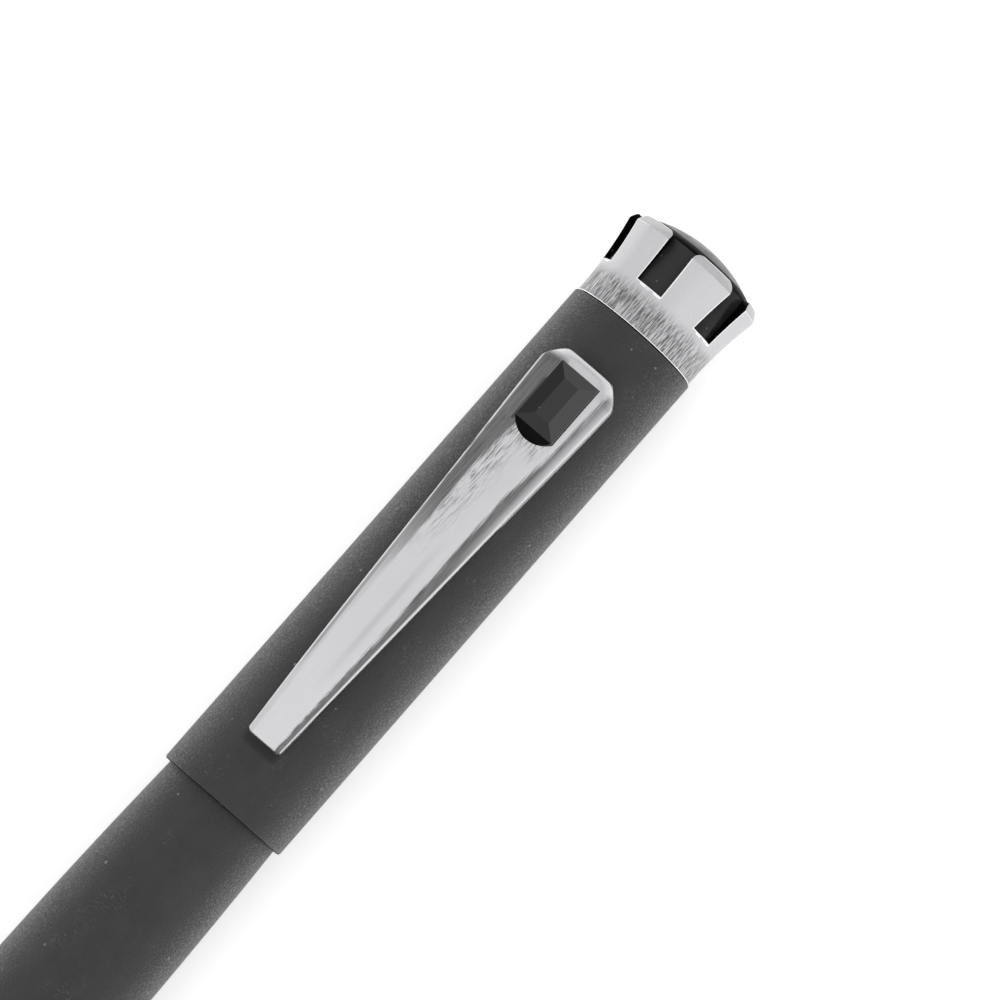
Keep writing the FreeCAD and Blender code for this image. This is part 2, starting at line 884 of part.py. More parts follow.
def battery_sleeve():
    body = new_body("battery_sleeve")
    revolve(
        body,
        [
            ("sleeve_start_x", "0"),
            ("sleeve_floor_x", "0"),
            ("sleeve_floor_x", "sleeve_bore_radius"),
            ("sleeve_end_x", "sleeve_bore_radius"),
            ("sleeve_end_x", "sleeve_radius"),
            ("sleeve_start_x", "sleeve_radius"),
        ],
    )
    slot = rectangle(
        sketch_on(body, "XY_Plane", "LeafSlot"),
        "sleeve_slot_start_x",
        "sleeve_end_x + 1",
        "-sleeve_slot_half_width",
        "sleeve_slot_half_width",
    )
    pocket(body, slot, "SlotPocket", backwards=True)
    return place(body)


def button_cell(label, order):
    body = new_body(label)
    start = f"cell_start_x + {order} * cell_length"
    shoulder = f"{start} + cell_can_length"
    can = revolve(
        body,
        [
            (start, "0"),
            (f"{start} + cell_length", "0"),
            (f"{start} + cell_length", "cell_pole_radius"),
            (shoulder, "cell_pole_radius"),
            (shoulder, "cell_radius"),
            (start, "cell_radius"),
        ],
    )
    edges = ring_at(start, "cell_radius")
    round_edges(body, can, "cell_edge_round", edges)
    return place(body)


def battery_spring():
    body = new_body("battery_spring")
    wire = circle_in(
        sketch_on(body, "XY_Plane", "Wire"),
        "battery_coil_start_x",
        "battery_coil_radius",
        "battery_wire_radius",
    )
    coil(body, wire, "H_Axis", "battery_coil_pitch", "battery_coil_length")
    return place(body)


def crown_ring():
    body = new_body("crown_ring")
    revolve(
        body,
        [
            ("spigot_start_x", "spigot_bore_radius"),
            ("crown_step_x", "spigot_bore_radius"),
            ("crown_step_x", "crown_bore_radius"),
            ("crown_top_x", "crown_bore_radius"),
            ("crown_top_x", "crown_top_radius"),
            ("crown_rim_x", "crown_rim_radius"),
            ("crown_band_end_x", "crown_band_radius"),
            ("crown_base_x", "crown_band_radius"),
            ("crown_base_x", "spigot_radius"),
            ("spigot_start_x", "spigot_radius"),
        ],
        {4: ("crown_edge_arc", 1), 5: ("crown_flare_arc", -1)},
    )
    groove(
        body,
        [
            ("ring_groove_start_x", "ring_groove_radius"),
            ("ring_groove_end_x", "ring_groove_radius"),
            ("ring_groove_end_x", "spigot_radius + 0.1"),
            ("ring_groove_start_x", "spigot_radius + 0.1"),
        ],
        "RingGroove",
    )
    low = "-slot_half_width"
    mouth = "crown_top_x - slot_mouth_round"
    slot = outline(
        sketch_on(body, "XY_Plane", "Slot"),
        [
            ("slot_floor_x", low),
            (mouth, low),
            ("crown_top_x", f"{low} - slot_mouth_round"),
            ("crown_top_x + 1", f"{low} - slot_mouth_round"),
            ("crown_top_x + 1", "slot_half_width + slot_mouth_round"),
            ("crown_top_x", "slot_half_width + slot_mouth_round"),
            (mouth, "slot_half_width"),
            ("slot_floor_x", "slot_half_width"),
        ],
        {1: ("slot_mouth_round", -1), 5: ("slot_mouth_round", -1)},
    )
    cut = pocket(body, slot, "SlotPocket", backwards=True)
    pattern = body.newObject("PartDesign::PolarPattern", "Slots")
    pattern.Originals = [cut]
    pattern.Axis = (slot, ["H_Axis"])
    pattern.Angle = 360
    pattern.setExpression("Occurrences", formula("slot_count"))
    body.Tip = pattern
    return place(body, turn="slot_turn")


def crown_window():
    body = new_body("crown_window")
    revolve(
        body,
        [
            ("window_tip_x", "0"),
            ("overall_length", "0"),
            ("window_shoulder_x", "window_shoulder_radius"),
            ("window_edge_x", "window_radius"),
            ("window_start_x", "window_radius"),
            ("window_start_x", "window_flange_bore"),
            ("window_flange_end_x", "window_flange_bore"),
            ("window_flange_end_x", "window_bore_radius"),
            ("window_bore_end_x", "window_bore_radius"),
        ],
        {
            1: (DOME, 1),
            2: ("window_edge_arc", 1),
            8: ("window_bore_radius", -1),
        },
    )
    return place(body)


def uv_lamp():
    body = new_body("uv_led")
    revolve(
        body,
        [
            ("lamp_base_x", "0"),
            ("lamp_tip_x", "0"),
            ("lamp_body_end_x", "lamp_radius"),
            ("lamp_flange_end_x", "lamp_radius"),
            ("lamp_flange_end_x", "lamp_flange_radius"),
            ("lamp_base_x", "lamp_flange_radius"),
        ],
        {1: ("lamp_radius", 1)},
    )
    return place(body)


def lamp_lead(label, start, side):
    body = new_body(label)
    end = circle_in(
        sketch_on(body, "YZ_Plane", "End", start), f"{side}lead_offset", "0", "lead_radius"
    )
    pad(body, end, f"lamp_base_x - {start}", "Wire")
    return place(body)


def lamp_holder():
    body = new_body("led_holder")
    revolve(
        body,
        [
            ("holder_start_x", "0"),
            ("holder_end_x", "0"),
            ("holder_end_x", "holder_radius"),
            ("holder_start_x", "holder_radius"),
        ],
    )
    holes = sketch_on(body, "YZ_Plane", "LeadHoles", "holder_start_x")
    circle_in(holes, "lead_offset", "0", "lead_hole_radius")
    circle_in(holes, "-lead_offset", "0", "lead_hole_radius")
    pocket(body, holes, "LeadPocket", backwards=True)
    return place(body)


def contact_plate():
    body = new_body("contact_plate")
    revolve(
        body,
        [
            ("plate_start_x", "0"),
            ("plate_end_x", "0"),
            ("plate_end_x", "plate_radius"),
            ("plate_start_x", "plate_radius"),
        ],
    )
    return place(body)


def thread_grooves(body, start, inner, outer, name="Thread"):
    """A row of V grooves that stands for the thread."""
    cut = groove(
        body,
        [
            (start, outer),
            (f"{start} + 0.5 * thread_pitch", inner),
            (f"{start} + 0.9 * thread_pitch", outer),
        ],
        name,
    )
    pattern = body.newObject("PartDesign::LinearPattern", f"{name}Row")
    pattern.Originals = [cut]
    pattern.Direction = (cut.Profile[0], ["H_Axis"])
    pattern.setExpression("Length", "(Sizes.thread_turns - 1) * Sizes.thread_pitch")
    pattern.setExpression("Occurrences", formula("thread_turns"))
    body.Tip = pattern


def barrel_shell():
    body = new_body("barrel_shell")
    revolve(
        body,
        [
            ("barrel_start_x", "barrel_tail_bore"),
            ("barrel_bore_start_x", "barrel_tail_bore"),
            ("barrel_bore_start_x", "barrel_bore_radius"),
            ("barrel_step_x", "barrel_bore_radius"),
            ("barrel_step_x", "barrel_socket_radius"),
            ("barrel_end_x", "barrel_socket_radius"),
            ("barrel_end_x", "barrel_end_radius"),
            ("barrel_start_x", "barrel_start_radius"),
        ],
        {6: ("barrel_arc", 1)},
    )
    return place(body)


def thread_insert():
    body = new_body("thread_insert")
    revolve(
        body,
        [
            ("insert_start_x", "insert_bore_radius"),
            ("insert_end_x", "insert_bore_radius"),
            ("insert_end_x", "insert_radius"),
            ("insert_start_x", "insert_radius"),
        ],
    )
    inner = "insert_bore_radius + thread_depth"
    thread_grooves(body, "thread_start_x", inner, "insert_bore_radius - 0.01")
    return place(body)


def tail_ring():
    body = new_body("tail_ring")
    revolve(
        body,
        [
            ("tail_ring_start_x", "tail_ring_bore"),
            ("tail_spigot_end_x", "tail_ring_bore"),
            ("tail_spigot_end_x", "tail_spigot_radius"),
            ("barrel_start_x", "tail_spigot_radius"),
            ("barrel_start_x", "tail_ring_radius"),
            ("tail_ring_start_x + tail_ring_edge", "tail_ring_radius"),
            ("tail_ring_start_x", "tail_ring_radius - tail_ring_edge"),
        ],
        {5: ("tail_ring_edge", 1)},
    )
    return place(body)


def tail_plug():
    body = new_body("tail_plug")
    revolve(
        body,
        [
            ("0", "0"),
            ("tail_plug_spigot_end_x", "0"),
            ("tail_plug_spigot_end_x", "tail_plug_spigot_radius"),
            ("tail_plug_flange_end_x", "tail_plug_spigot_radius"),
            ("tail_plug_flange_end_x", "tail_plug_edge_radius"),
        ],
        {4: (DOME, 1)},
    )
    return place(body)


def refill_spring():
    body = new_body("refill_spring")
    wire = circle_in(
        sketch_on(body, "XY_Plane", "Wire"),
        "refill_coil_start_x",
        "refill_coil_radius",
        "refill_wire_radius",
    )
    coil(body, wire, "H_Axis", "refill_coil_pitch", "refill_coil_length")
    return place(body)


def grip_section():
    body = new_body("grip_section")
    turned = revolve(
        body,
        [
            ("section_start_x", "section_bore_radius"),
            ("section_bore_step_x", "section_bore_radius"),
            ("section_bore_step_x", "section_nose_bore_radius"),
            ("section_end_x", "section_nose_bore_radius"),
            ("section_end_x", "section_lip_radius"),
            ("section_lip_x", "section_lip_radius"),
            ("section_waist_x", "section_waist_radius"),
            ("section_collar_end_x", "section_collar_radius"),
            ("section_collar_x", "section_collar_radius"),
            ("section_collar_x", "section_ring_seat_radius"),
            ("section_ring_seat_x", "section_ring_seat_radius"),
            ("section_ring_seat_x", "section_thread_radius - thread_depth"),
            ("section_thread_end_x", "section_thread_radius - thread_depth"),
            ("section_thread_end_x", "section_thread_radius"),
            ("section_start_x", "section_thread_radius"),
        ],
        {6: ("section_grip_arc", -1)},
    )
    nose = ring_at("section_end_x", "section_lip_radius")
    round_edges(body, turned, "section_nose_round", nose, "Nose")
    groove(
        body,
        [
            ("snap_x - snap_groove_half_width", "snap_groove_radius"),
            ("snap_x + snap_groove_half_width", "snap_groove_radius"),
            ("snap_x + snap_groove_half_width", "section_collar_radius + 0.1"),
            ("snap_x - snap_groove_half_width", "section_collar_radius + 0.1"),
        ],
        "SnapGroove",
    )
    inner = "section_thread_radius - thread_depth"
    thread_grooves(body, "thread_start_x", inner, "section_thread_radius + 0.01")
    return place(body)


def coupling_ring():
    body = new_body("coupling_ring")
    ring = revolve(
        body,
        [
            ("coupling_start_x", "coupling_bore_radius"),
            ("coupling_end_x", "coupling_bore_radius"),
            ("coupling_end_x", "coupling_radius"),
            ("coupling_start_x", "coupling_radius"),
        ],
    )
    front = ring_at("coupling_end_x", "coupling_radius")
    round_edges(body, ring, "coupling_edge", front, "FrontEdge", "PartDesign::Chamfer")
    return place(body)


def nib_holder():
    body = new_body("nib_holder")
    revolve(
        body,
        [
            ("holder_tail_x", "nose_bore_radius"),
            ("nose_end_x", "nose_bore_radius"),
            ("nose_end_x", "nose_end_radius"),
            ("nose_flange_end_x", "nose_shoulder_radius"),
            ("nose_flange_end_x", "nose_flange_radius"),
            ("nose_flange_x", "nose_flange_radius"),
            ("nose_flange_x", "holder_tail_radius"),
            ("holder_tail_x", "holder_tail_radius"),
        ],
    )
    return place(body)


def fibre_nib():
    body = new_body("fibre_nib")
    revolve(
        body,
        [
            ("nib_start_x", "0"),
            ("nib_end_x", "0"),
            ("nib_end_x", "nib_point_radius"),
            ("nib_shoulder_x", "nib_radius"),
            ("nib_start_x", "nib_radius"),
        ],
        {2: ("nib_point_arc", 1)},
    )
    return place(body)


def ink_wick():
    body = new_body("ink_wick")
    revolve(
        body,
        [
            ("wick_start_x", "0"),
            ("wick_hole_start_x", "0"),
            ("wick_hole_start_x", "wick_hole_radius"),
            ("wick_end_x", "wick_hole_radius"),
            ("wick_end_x", "wick_radius"),
            ("wick_start_x", "wick_radius"),
        ],
    )
    return place(body)


def cartridge_plug():
    body = new_body("cartridge_plug")
    revolve(
        body,
        [
            ("cartridge_plug_start_x", "0"),
            ("cartridge_plug_end_x", "0"),
            ("cartridge_plug_end_x", "cartridge_plug_spigot_radius"),
            ("cartridge_plug_flange_end_x", "cartridge_plug_spigot_radius"),
            ("cartridge_plug_flange_end_x", "cartridge_plug_radius"),
            ("cartridge_plug_start_x", "cartridge_plug_radius"),
        ],
    )
    return place(body)


PIECES = [
    grip_section(),
    coupling_ring(),
    torus("snap_ring", "snap_x", "snap_radius", "snap_cord_radius"),
    nib_holder(),
    fibre_nib(),
    tube(
        "ink_cartridge",
        "cartridge_start_x",
        "cartridge_end_x",
        "cartridge_radius",
        "cartridge_bore_radius",
    ),
    ink_wick(),
    cartridge_plug(),
    barrel_shell(),
    thread_insert(),
    tail_ring(),
    tail_plug(),
    refill_spring(),
    cap_shell(),
    cap_liner(),
    inner_cap(),
    torus("nib_seal", "seal_x", "seal_radius", "seal_cord_radius"),
    clip_bracket(),
    clip_spring(),
    pocket_clip(),
    clip_pin(),
    clip_button(),
    button_plunger(),
    button_spring(),
    contact_leaf(),
    battery_sleeve(),
    battery_spring(),
    button_cell("rear_cell", 0),
    button_cell("middle_cell", 1),
    button_cell("front_cell", 2),
    contact_plate(),
    lamp_holder(),
    uv_lamp(),
    lamp_lead("long_lead", "long_lead_start_x", ""),
    lamp_lead("short_lead", "short_lead_start_x", "-"),
    crown_ring(),
    torus("crown_seal", "ring_x", "ring_radius", "ring_cord_radius"),
    crown_window(),
]

doc.recompute()
for item in doc.Objects:
    if "Invalid" in item.State or "Error" in item.State:
        raise RuntimeError(f"{item.Name} is {item.State}")
os.makedirs("parts", exist_ok=True)
for piece in PIECES:
    shape = piece.Shape
    if shape.isNull() or not shape.isValid() or len(shape.Solids) != 1:
        raise RuntimeError(f"{piece.Label} has no sound solid")
    shape.exportStep(f"parts/{piece.Label}.step")
    print(f"{piece.Label:16s} {shape.Volume:9.2f} mm3")
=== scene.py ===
import json
import math

import bmesh
import bpy
from mathutils import Matrix, Vector

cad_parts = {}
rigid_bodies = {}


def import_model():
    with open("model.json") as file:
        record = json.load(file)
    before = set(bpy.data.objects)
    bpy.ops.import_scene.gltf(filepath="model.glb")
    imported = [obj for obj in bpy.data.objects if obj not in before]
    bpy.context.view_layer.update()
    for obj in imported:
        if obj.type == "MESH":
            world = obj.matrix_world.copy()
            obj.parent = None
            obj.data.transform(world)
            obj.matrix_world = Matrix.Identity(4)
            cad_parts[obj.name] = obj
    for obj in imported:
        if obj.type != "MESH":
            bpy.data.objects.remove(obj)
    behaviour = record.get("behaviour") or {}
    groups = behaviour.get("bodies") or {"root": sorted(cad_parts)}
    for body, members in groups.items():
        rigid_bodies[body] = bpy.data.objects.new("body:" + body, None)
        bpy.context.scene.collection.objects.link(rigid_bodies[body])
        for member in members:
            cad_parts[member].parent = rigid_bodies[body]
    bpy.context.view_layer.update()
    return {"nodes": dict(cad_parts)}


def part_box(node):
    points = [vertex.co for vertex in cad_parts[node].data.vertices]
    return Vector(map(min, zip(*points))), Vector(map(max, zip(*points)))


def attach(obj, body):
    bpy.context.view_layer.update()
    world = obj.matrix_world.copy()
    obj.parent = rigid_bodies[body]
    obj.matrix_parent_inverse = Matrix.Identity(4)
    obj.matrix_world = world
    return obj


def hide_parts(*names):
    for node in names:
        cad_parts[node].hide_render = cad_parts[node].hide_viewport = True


MM = 0.001

for leftover in list(bpy.data.objects):
    bpy.data.objects.remove(leftover)
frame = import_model()

# The pen lies along +X. Profiles below give x from the tail's end and the distance from its axis,
# in millimetres; place() turns them into the shared frame.
TAIL_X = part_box("tail_plug")[0].x
AXIS_Z = (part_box("barrel_shell")[0].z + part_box("barrel_shell")[1].z) / 2


def place(x, y, z):
    """A point from the tail's end and the pen's axis, in mm, as a point of the frame."""
    return Vector((TAIL_X + x * MM, y * MM, AXIS_Z + z * MM))


def measured(point):
    """How far a point of the frame is from the tail's end along the pen, and from its axis, in mm."""
    return (point.x - TAIL_X) / MM, math.hypot(point.y, point.z - AXIS_Z) / MM


# Where the crown's skirt starts, past the spigot that goes into the cap.
CROWN_FOOT = 130.95

# The crown's slots: where they end, half their width, the round of their mouths, and their turn.
# A painted highlight line, as wide as the constant below, follows each slot's edge.
SLOT_COUNT = 6
SLOT_FLOOR, SLOT_HALF, SLOT_ROUND = 134.5, 1.36, 0.6
SLOT_TURN = math.radians(8.4)
HIGHLIGHT_LINE_WIDTH = 0.09

# Stations along the clip: x, half its width, its rim's height, its crest's height, and half the
# width of its flat between the flanks.
CLIP_STATIONS = [
    (83.3, 1.78, 7.25, 7.65, 1.5),
    (92.0, 2.28, 7.75, 8.25, 1.8),
    (103.0, 2.84, 7.9, 8.5, 1.98),
    (112.0, 3.28, 7.9, 8.66, 2.2),
    (119.95, 3.72, 7.9, 8.75, 2.72),
    (125.9, 3.94, 7.9, 8.78, 2.9),
]
CLIP_TIP, CLIP_END = CLIP_STATIONS[0][0], CLIP_STATIONS[-1][0]
CLIP_BOTTOM = 6.55
CLIP_DROP = 0.14  # how far the flat has fallen below the crest where the flanks start
END_ROUND = 0.3
RIM_ROUND = 0.3
# The cut corners of the clip's head and tip: their length, and half the width they leave.
HEAD_CORNER = (1.95, 2.45)
TIP_CORNER = (0.35, 1.45)

# The button: where its tail end's arc, its straight sides and its crown end lie, half its width,
# the length of its end facets, and half the width of the flat between its facets.
BUTTON_TAIL, BUTTON_START, BUTTON_END, BUTTON_HALF = 117.5, 118.5, 124.65, 2.05
BUTTON_FACET, TABLE_HALF = 1.15, 0.77

# ---------------------------------------------------------------- materials


class Paint:
    """A material being built from nodes round one Principled shader."""

    def __init__(self, name):
        self.material = bpy.data.materials.new(name)
        self.material.use_nodes = True
        self.tree = self.material.node_tree
        self.shader = self.tree.nodes["Principled BSDF"]
        self.where = self.node("ShaderNodeTexCoord").outputs["Object"]

    def node(self, kind, **settings):
        made = self.tree.nodes.new(kind)
        for key, value in settings.items():
            setattr(made, key, value)
        return made

    def plug(self, socket, value):
        if isinstance(value, bpy.types.NodeSocket):
            self.tree.links.new(value, socket)
        else:
            socket.default_value = value

    def set(self, **inputs):
        for key, value in inputs.items():
            self.plug(self.shader.inputs[key.replace("_", " ")], value)
        return self

    def stretched(self, along, across):
        """Coordinates in mm, scaled along the pen and across it."""
        mapping = self.node("ShaderNodeMapping", vector_type="POINT")
        self.plug(mapping.inputs["Vector"], self.where)
        scale = (along / MM, across / MM, across / MM)
        mapping.inputs["Scale"].default_value = scale
        return mapping.outputs["Vector"]

    def noise(self, size, along=1.0, detail=3.0, rough=0.5, shift=0.0):
        """Noise whose features are about size mm wide, and longer by along down the pen."""
        made = self.node("ShaderNodeTexNoise", noise_dimensions="4D")
        self.plug(made.inputs["Vector"], self.stretched(1 / (size * along), 1 / size))
        made.inputs["W"].default_value = shift
        made.inputs["Scale"].default_value = 1.0
        made.inputs["Detail"].default_value = detail
        made.inputs["Roughness"].default_value = rough
        return made.outputs["Fac"]

    def specks(self, size, reach, share):
        """Round specks on a share of the cells about size mm wide. reach is a speck's own size."""
        made = self.node("ShaderNodeTexVoronoi")
        self.plug(made.inputs["Vector"], self.stretched(1 / size, 1 / size))
        made.inputs["Scale"].default_value = 1.0
        split = self.node("ShaderNodeSeparateColor")
        self.plug(split.inputs["Color"], made.outputs["Color"])
        inside = self.maths("LESS_THAN", made.outputs["Distance"], reach / size)
        chosen = self.maths("LESS_THAN", split.outputs["Red"], share)
        return self.maths("MULTIPLY", inside, chosen)

    def span(self, value, low, high, start=0.0, end=1.0, smooth=False):
        """value from low..high mapped to start..end, and held there outside."""
        made = self.node("ShaderNodeMapRange")
        made.interpolation_type = "SMOOTHSTEP" if smooth else "LINEAR"
        made.clamp = True
        for socket, item in zip(made.inputs, (value, low, high, start, end)):
            self.plug(socket, item)
        return made.outputs["Result"]

    def maths(self, operation, first, second):
        made = self.node("ShaderNodeMath", operation=operation)
        self.plug(made.inputs[0], first)
        self.plug(made.inputs[1], second)
        return made.outputs["Value"]

    def product(self, *values):
        result = values[0]
        for value in values[1:]:
            result = self.maths("MULTIPLY", result, value)
        return result

    def most(self, *values):
        """The largest of some values."""
        result = values[0]
        for value in values[1:]:
            result = self.maths("MAXIMUM", result, value)
        return result

    def mixture(self, share, first, second):
        """The first value weighed by share, and the second by what that leaves."""
        return self.maths(
            "ADD", self.maths("MULTIPLY", first, share), self.maths("MULTIPLY", second, 1 - share)
        )

    def away(self, value, centre=0.0):
        """How far a value is from a centre, on either side."""
        return self.maths("ABSOLUTE", self.maths("SUBTRACT", value, centre), 0.0)

    def part(self, vector, axis):
        """A vector's size along one axis: X, Y or Z."""
        split = self.node("ShaderNodeSeparateXYZ")
        self.plug(split.inputs["Vector"], vector)
        return split.outputs[axis]

    def normal(self):
        return self.node("ShaderNodeNewGeometry").outputs["Normal"]

    def spot(self):
        """Where a point lies, in mm: along the pen from its tail, sideways, and above its axis."""
        along, across, height = [
            self.maths("DIVIDE", self.part(self.where, axis), MM) for axis in "XYZ"
        ]
        along = self.maths("SUBTRACT", along, TAIL_X / MM)
        return along, across, self.maths("SUBTRACT", height, AXIS_Z / MM)

    def blend(self, amount, first, second):
        """The first colour where amount is 0, the second where it is 1."""
        made = self.node("ShaderNodeMix", data_type="RGBA")
        self.plug(made.inputs["Factor"], amount)
        for key, colour in (("A", first), ("B", second)):
            socket = [s for s in made.inputs if s.name == key and s.type == "RGBA"][0]
            self.plug(socket, colour if not isinstance(colour, tuple) else (*colour, 1.0))
        return [s for s in made.outputs if s.type == "RGBA"][0]

    def bump(self, height, depth, strength):
        """A bump whose height runs over depth mm."""
        made = self.node("ShaderNodeBump")
        made.inputs["Strength"].default_value = strength
        made.inputs["Distance"].default_value = depth * MM
        self.plug(made.inputs["Height"], height)
        return made.outputs["Normal"]

    def flow(self):
        """The direction round the pen, which a highlight on lengthwise brushing spreads along."""
        made = self.node("ShaderNodeVectorMath", operation="CROSS_PRODUCT")
        self.plug(made.inputs[0], self.normal())
        made.inputs[1].default_value = (1.0, 0.0, 0.0)
        return made.outputs["Vector"]


def grey(level):
    return (level, level, level * 1.02)


def soft_touch():
    """Matt rubbery coat: fine grain, dust specks, a few scuffs, painted edge sheen, painted shadow at
    the clip's tip.
    """
    paint = Paint("soft_touch_coat")
    level, painted_sheen_level, dust_level, scuff_level, clip_tip_shadow_level = 0.022, 0.17, 0.28, 0.2, 0.001
    grain = paint.noise(0.2, detail=4.0, rough=0.65)
    mottle = paint.noise(2.2, along=1.4, detail=4.0, rough=0.6)
    colour = paint.blend(paint.span(grain, 0.34, 0.68), grey(level * 0.72), grey(level * 1.3))
    colour = paint.blend(paint.span(mottle, 0.4, 0.66, 0.0, 0.8), colour, grey(level * 1.35))

    # Painted sheen: the grain is lightened towards the coat's edges as the camera sees them.
    facing = paint.node("ShaderNodeLayerWeight").outputs["Facing"]
    painted_edge_sheen = paint.product(paint.span(facing, 0.2, 0.6), paint.span(grain, 0.5, 0.6), 0.85)
    colour = paint.blend(painted_edge_sheen, colour, grey(painted_sheen_level))
    dust = paint.product(paint.specks(2.1, 0.16, 0.35), 0.5)
    colour = paint.blend(dust, colour, grey(dust_level))

    hair = paint.noise(0.9, along=0.35, detail=1.0, shift=4.2)
    thread = paint.span(paint.away(hair, 0.5), 0.0, 0.006, 1.0, 0.0)
    sparse = paint.span(paint.noise(3.2, detail=1.0, shift=9.1), 0.6, 0.64)
    colour = paint.blend(paint.product(thread, sparse, 0.75), colour, grey(scuff_level))

    # Painted shadow: the coat is darkened round the clip's tip, where the clip shades it.
    along, across, _ = paint.spot()
    clip_tip_shadow = paint.product(
        paint.span(paint.away(along, CLIP_TIP - 0.35), 0.2, 0.8, 1.0, 0.0, smooth=True),
        paint.span(paint.away(across), 1.4, 2.2, 0.8, 0.0, smooth=True),
    )
    colour = paint.blend(clip_tip_shadow, colour, grey(clip_tip_shadow_level))
    rough = paint.span(grain, 0.3, 0.7, 0.5, 0.66)
    paint.set(Base_Color=colour, Roughness=rough, Specular_IOR_Level=0.42)
    paint.set(Sheen_Weight=0.22, Sheen_Roughness=0.42)
    paint.set(Normal=paint.bump(grain, 0.16, 0.9))
    return paint.material


def brushed_steel(
    name, level=0.52, rough=0.27, depth=0.012, contrast=1.0, spread=0.55, darken_mask=None, brighten_mask=None
):
    """Stainless steel brushed along the pen. Optional masks paint shade and dark streaks, and
    highlights. wear says where it is darker, polish where brighter.
    """
    paint = Paint(name)
    fine = paint.noise(0.045, along=26.0, detail=3.0, rough=0.65)
    coarse = paint.noise(0.17, along=16.0, detail=2.0, rough=0.55, shift=2.7)
    smear = paint.noise(2.6, along=2.4, detail=2.0, shift=5.5)
    lines = paint.mixture(0.6, fine, coarse)
    dull, bright = grey(level * (1 - 0.22 * contrast)), grey(level * (1 + 0.12 * contrast))
    colour = paint.blend(paint.span(lines, 0.4, 0.62), dull, bright)
    colour = paint.blend(paint.span(smear, 0.35, 0.75, 0.0, 0.35), colour, grey(level * 1.1))
    darkened_share, brightened_level = 0.13, 0.92
    # The first mask paints shade and dark streaks into the colour, the second paints highlights.
    if darken_mask:
        colour = paint.blend(darken_mask(paint), colour, grey(level * darkened_share))
    if brighten_mask:
        colour = paint.blend(brighten_mask(paint), colour, grey(brightened_level))
    paint.set(Base_Color=colour, Metallic=1.0)
    paint.set(Roughness=paint.span(lines, 0.35, 0.68, rough * 0.85, rough * 1.35))
    paint.set(Anisotropic=spread, Tangent=paint.flow())
    paint.set(Normal=paint.bump(lines, depth, 0.9))
    return paint.material


def crown_foot_streaks(paint):
    """Dark streaks round the crown's foot, which fade before the slots."""
    along, _, _ = paint.spot()
    strokes_end, strokes_fade = 134.4, 1.5
    stroke = paint.noise(0.1, along=14.0, detail=3.0, rough=0.6, shift=1.9)
    fine = paint.noise(0.06, along=16.0, detail=2.0, shift=3.1)
    foot = paint.span(along, strokes_end - strokes_fade, strokes_end, 1.0, 0.0, smooth=True)
    marks = paint.most(paint.span(stroke, 0.47, 0.56), paint.span(fine, 0.52, 0.6, 0.0, 0.75))
    marks = paint.span(marks, 0.0, 1.0, 0.04, 0.84)
    return paint.product(marks, foot, paint.span(along, CROWN_FOOT - 0.1, CROWN_FOOT, 0.2, 1.0))


def crown_painted_highlights(paint):
    """Painted highlight lines round the crown's slots, reaching a little further past the slot floors
    in places.
    """
    along, across, height = paint.spot()
    near = 0.0
    for number in range(SLOT_COUNT // 2):  # a slot and the one opposite share a line
        turn = SLOT_TURN + math.radians(360 / SLOT_COUNT * number)
        from_slot = paint.maths(
            "SUBTRACT",
            paint.maths("MULTIPLY", across, math.cos(turn)),
            paint.maths("MULTIPLY", height, math.sin(turn)),
        )
        in_line = paint.maths("LESS_THAN", paint.away(from_slot), SLOT_HALF + HIGHLIGHT_LINE_WIDTH)
        near = paint.most(near, in_line)
    floor_reach = paint.span(paint.noise(0.9, detail=1.0, shift=6.2), 0.5, 0.54, 0.0, 0.14)
    past_floor = paint.maths("GREATER_THAN", paint.maths("ADD", along, floor_reach), SLOT_FLOOR - HIGHLIGHT_LINE_WIDTH)
    return paint.product(near, past_floor, 0.85)


# Where the clip's painted shade and streaks start and end, along it in mm from the pen's tail. The
# clip's left is +Y.
LEFT_LINE_STARTS = (88.0, 93.0)
MIDDLE_STREAK_STARTS, MIDDLE_STREAK_ENDS = (89.0, 96.0), (101.0, 107.0)
SHOULDERS_WIDEN = (96.0, 107.0)
LEFT_DARKENS = (98.0, 110.0)
FAN_STARTS = (103.0, 113.0)
RIGHT_STARTS_TO_FADE = (104.0, 111.0)
WINDOW_NEARS = (113.0, 119.0)
HEAD_STARTS = (114.0, 120.0)
DASHES_BY_WINDOW = (115.6, 117.6)
WINDOW_SHADOW_STARTS, WINDOW_SHADOW_ENDS = (117.7, 118.1), (122.5, 124.2)
FAN_ENDS = (118.3, 118.8)
HEAD_ENDS = (124.5, 125.2)
# Where they change across it, in mm from its middle.
OVER_MIDDLE = (-0.3, 0.3)
LEFT_OF_MIDDLE = (0.0, 0.3)
CLIP_TAPER = 0.0535  # how much half the clip's width grows in 1 mm along it


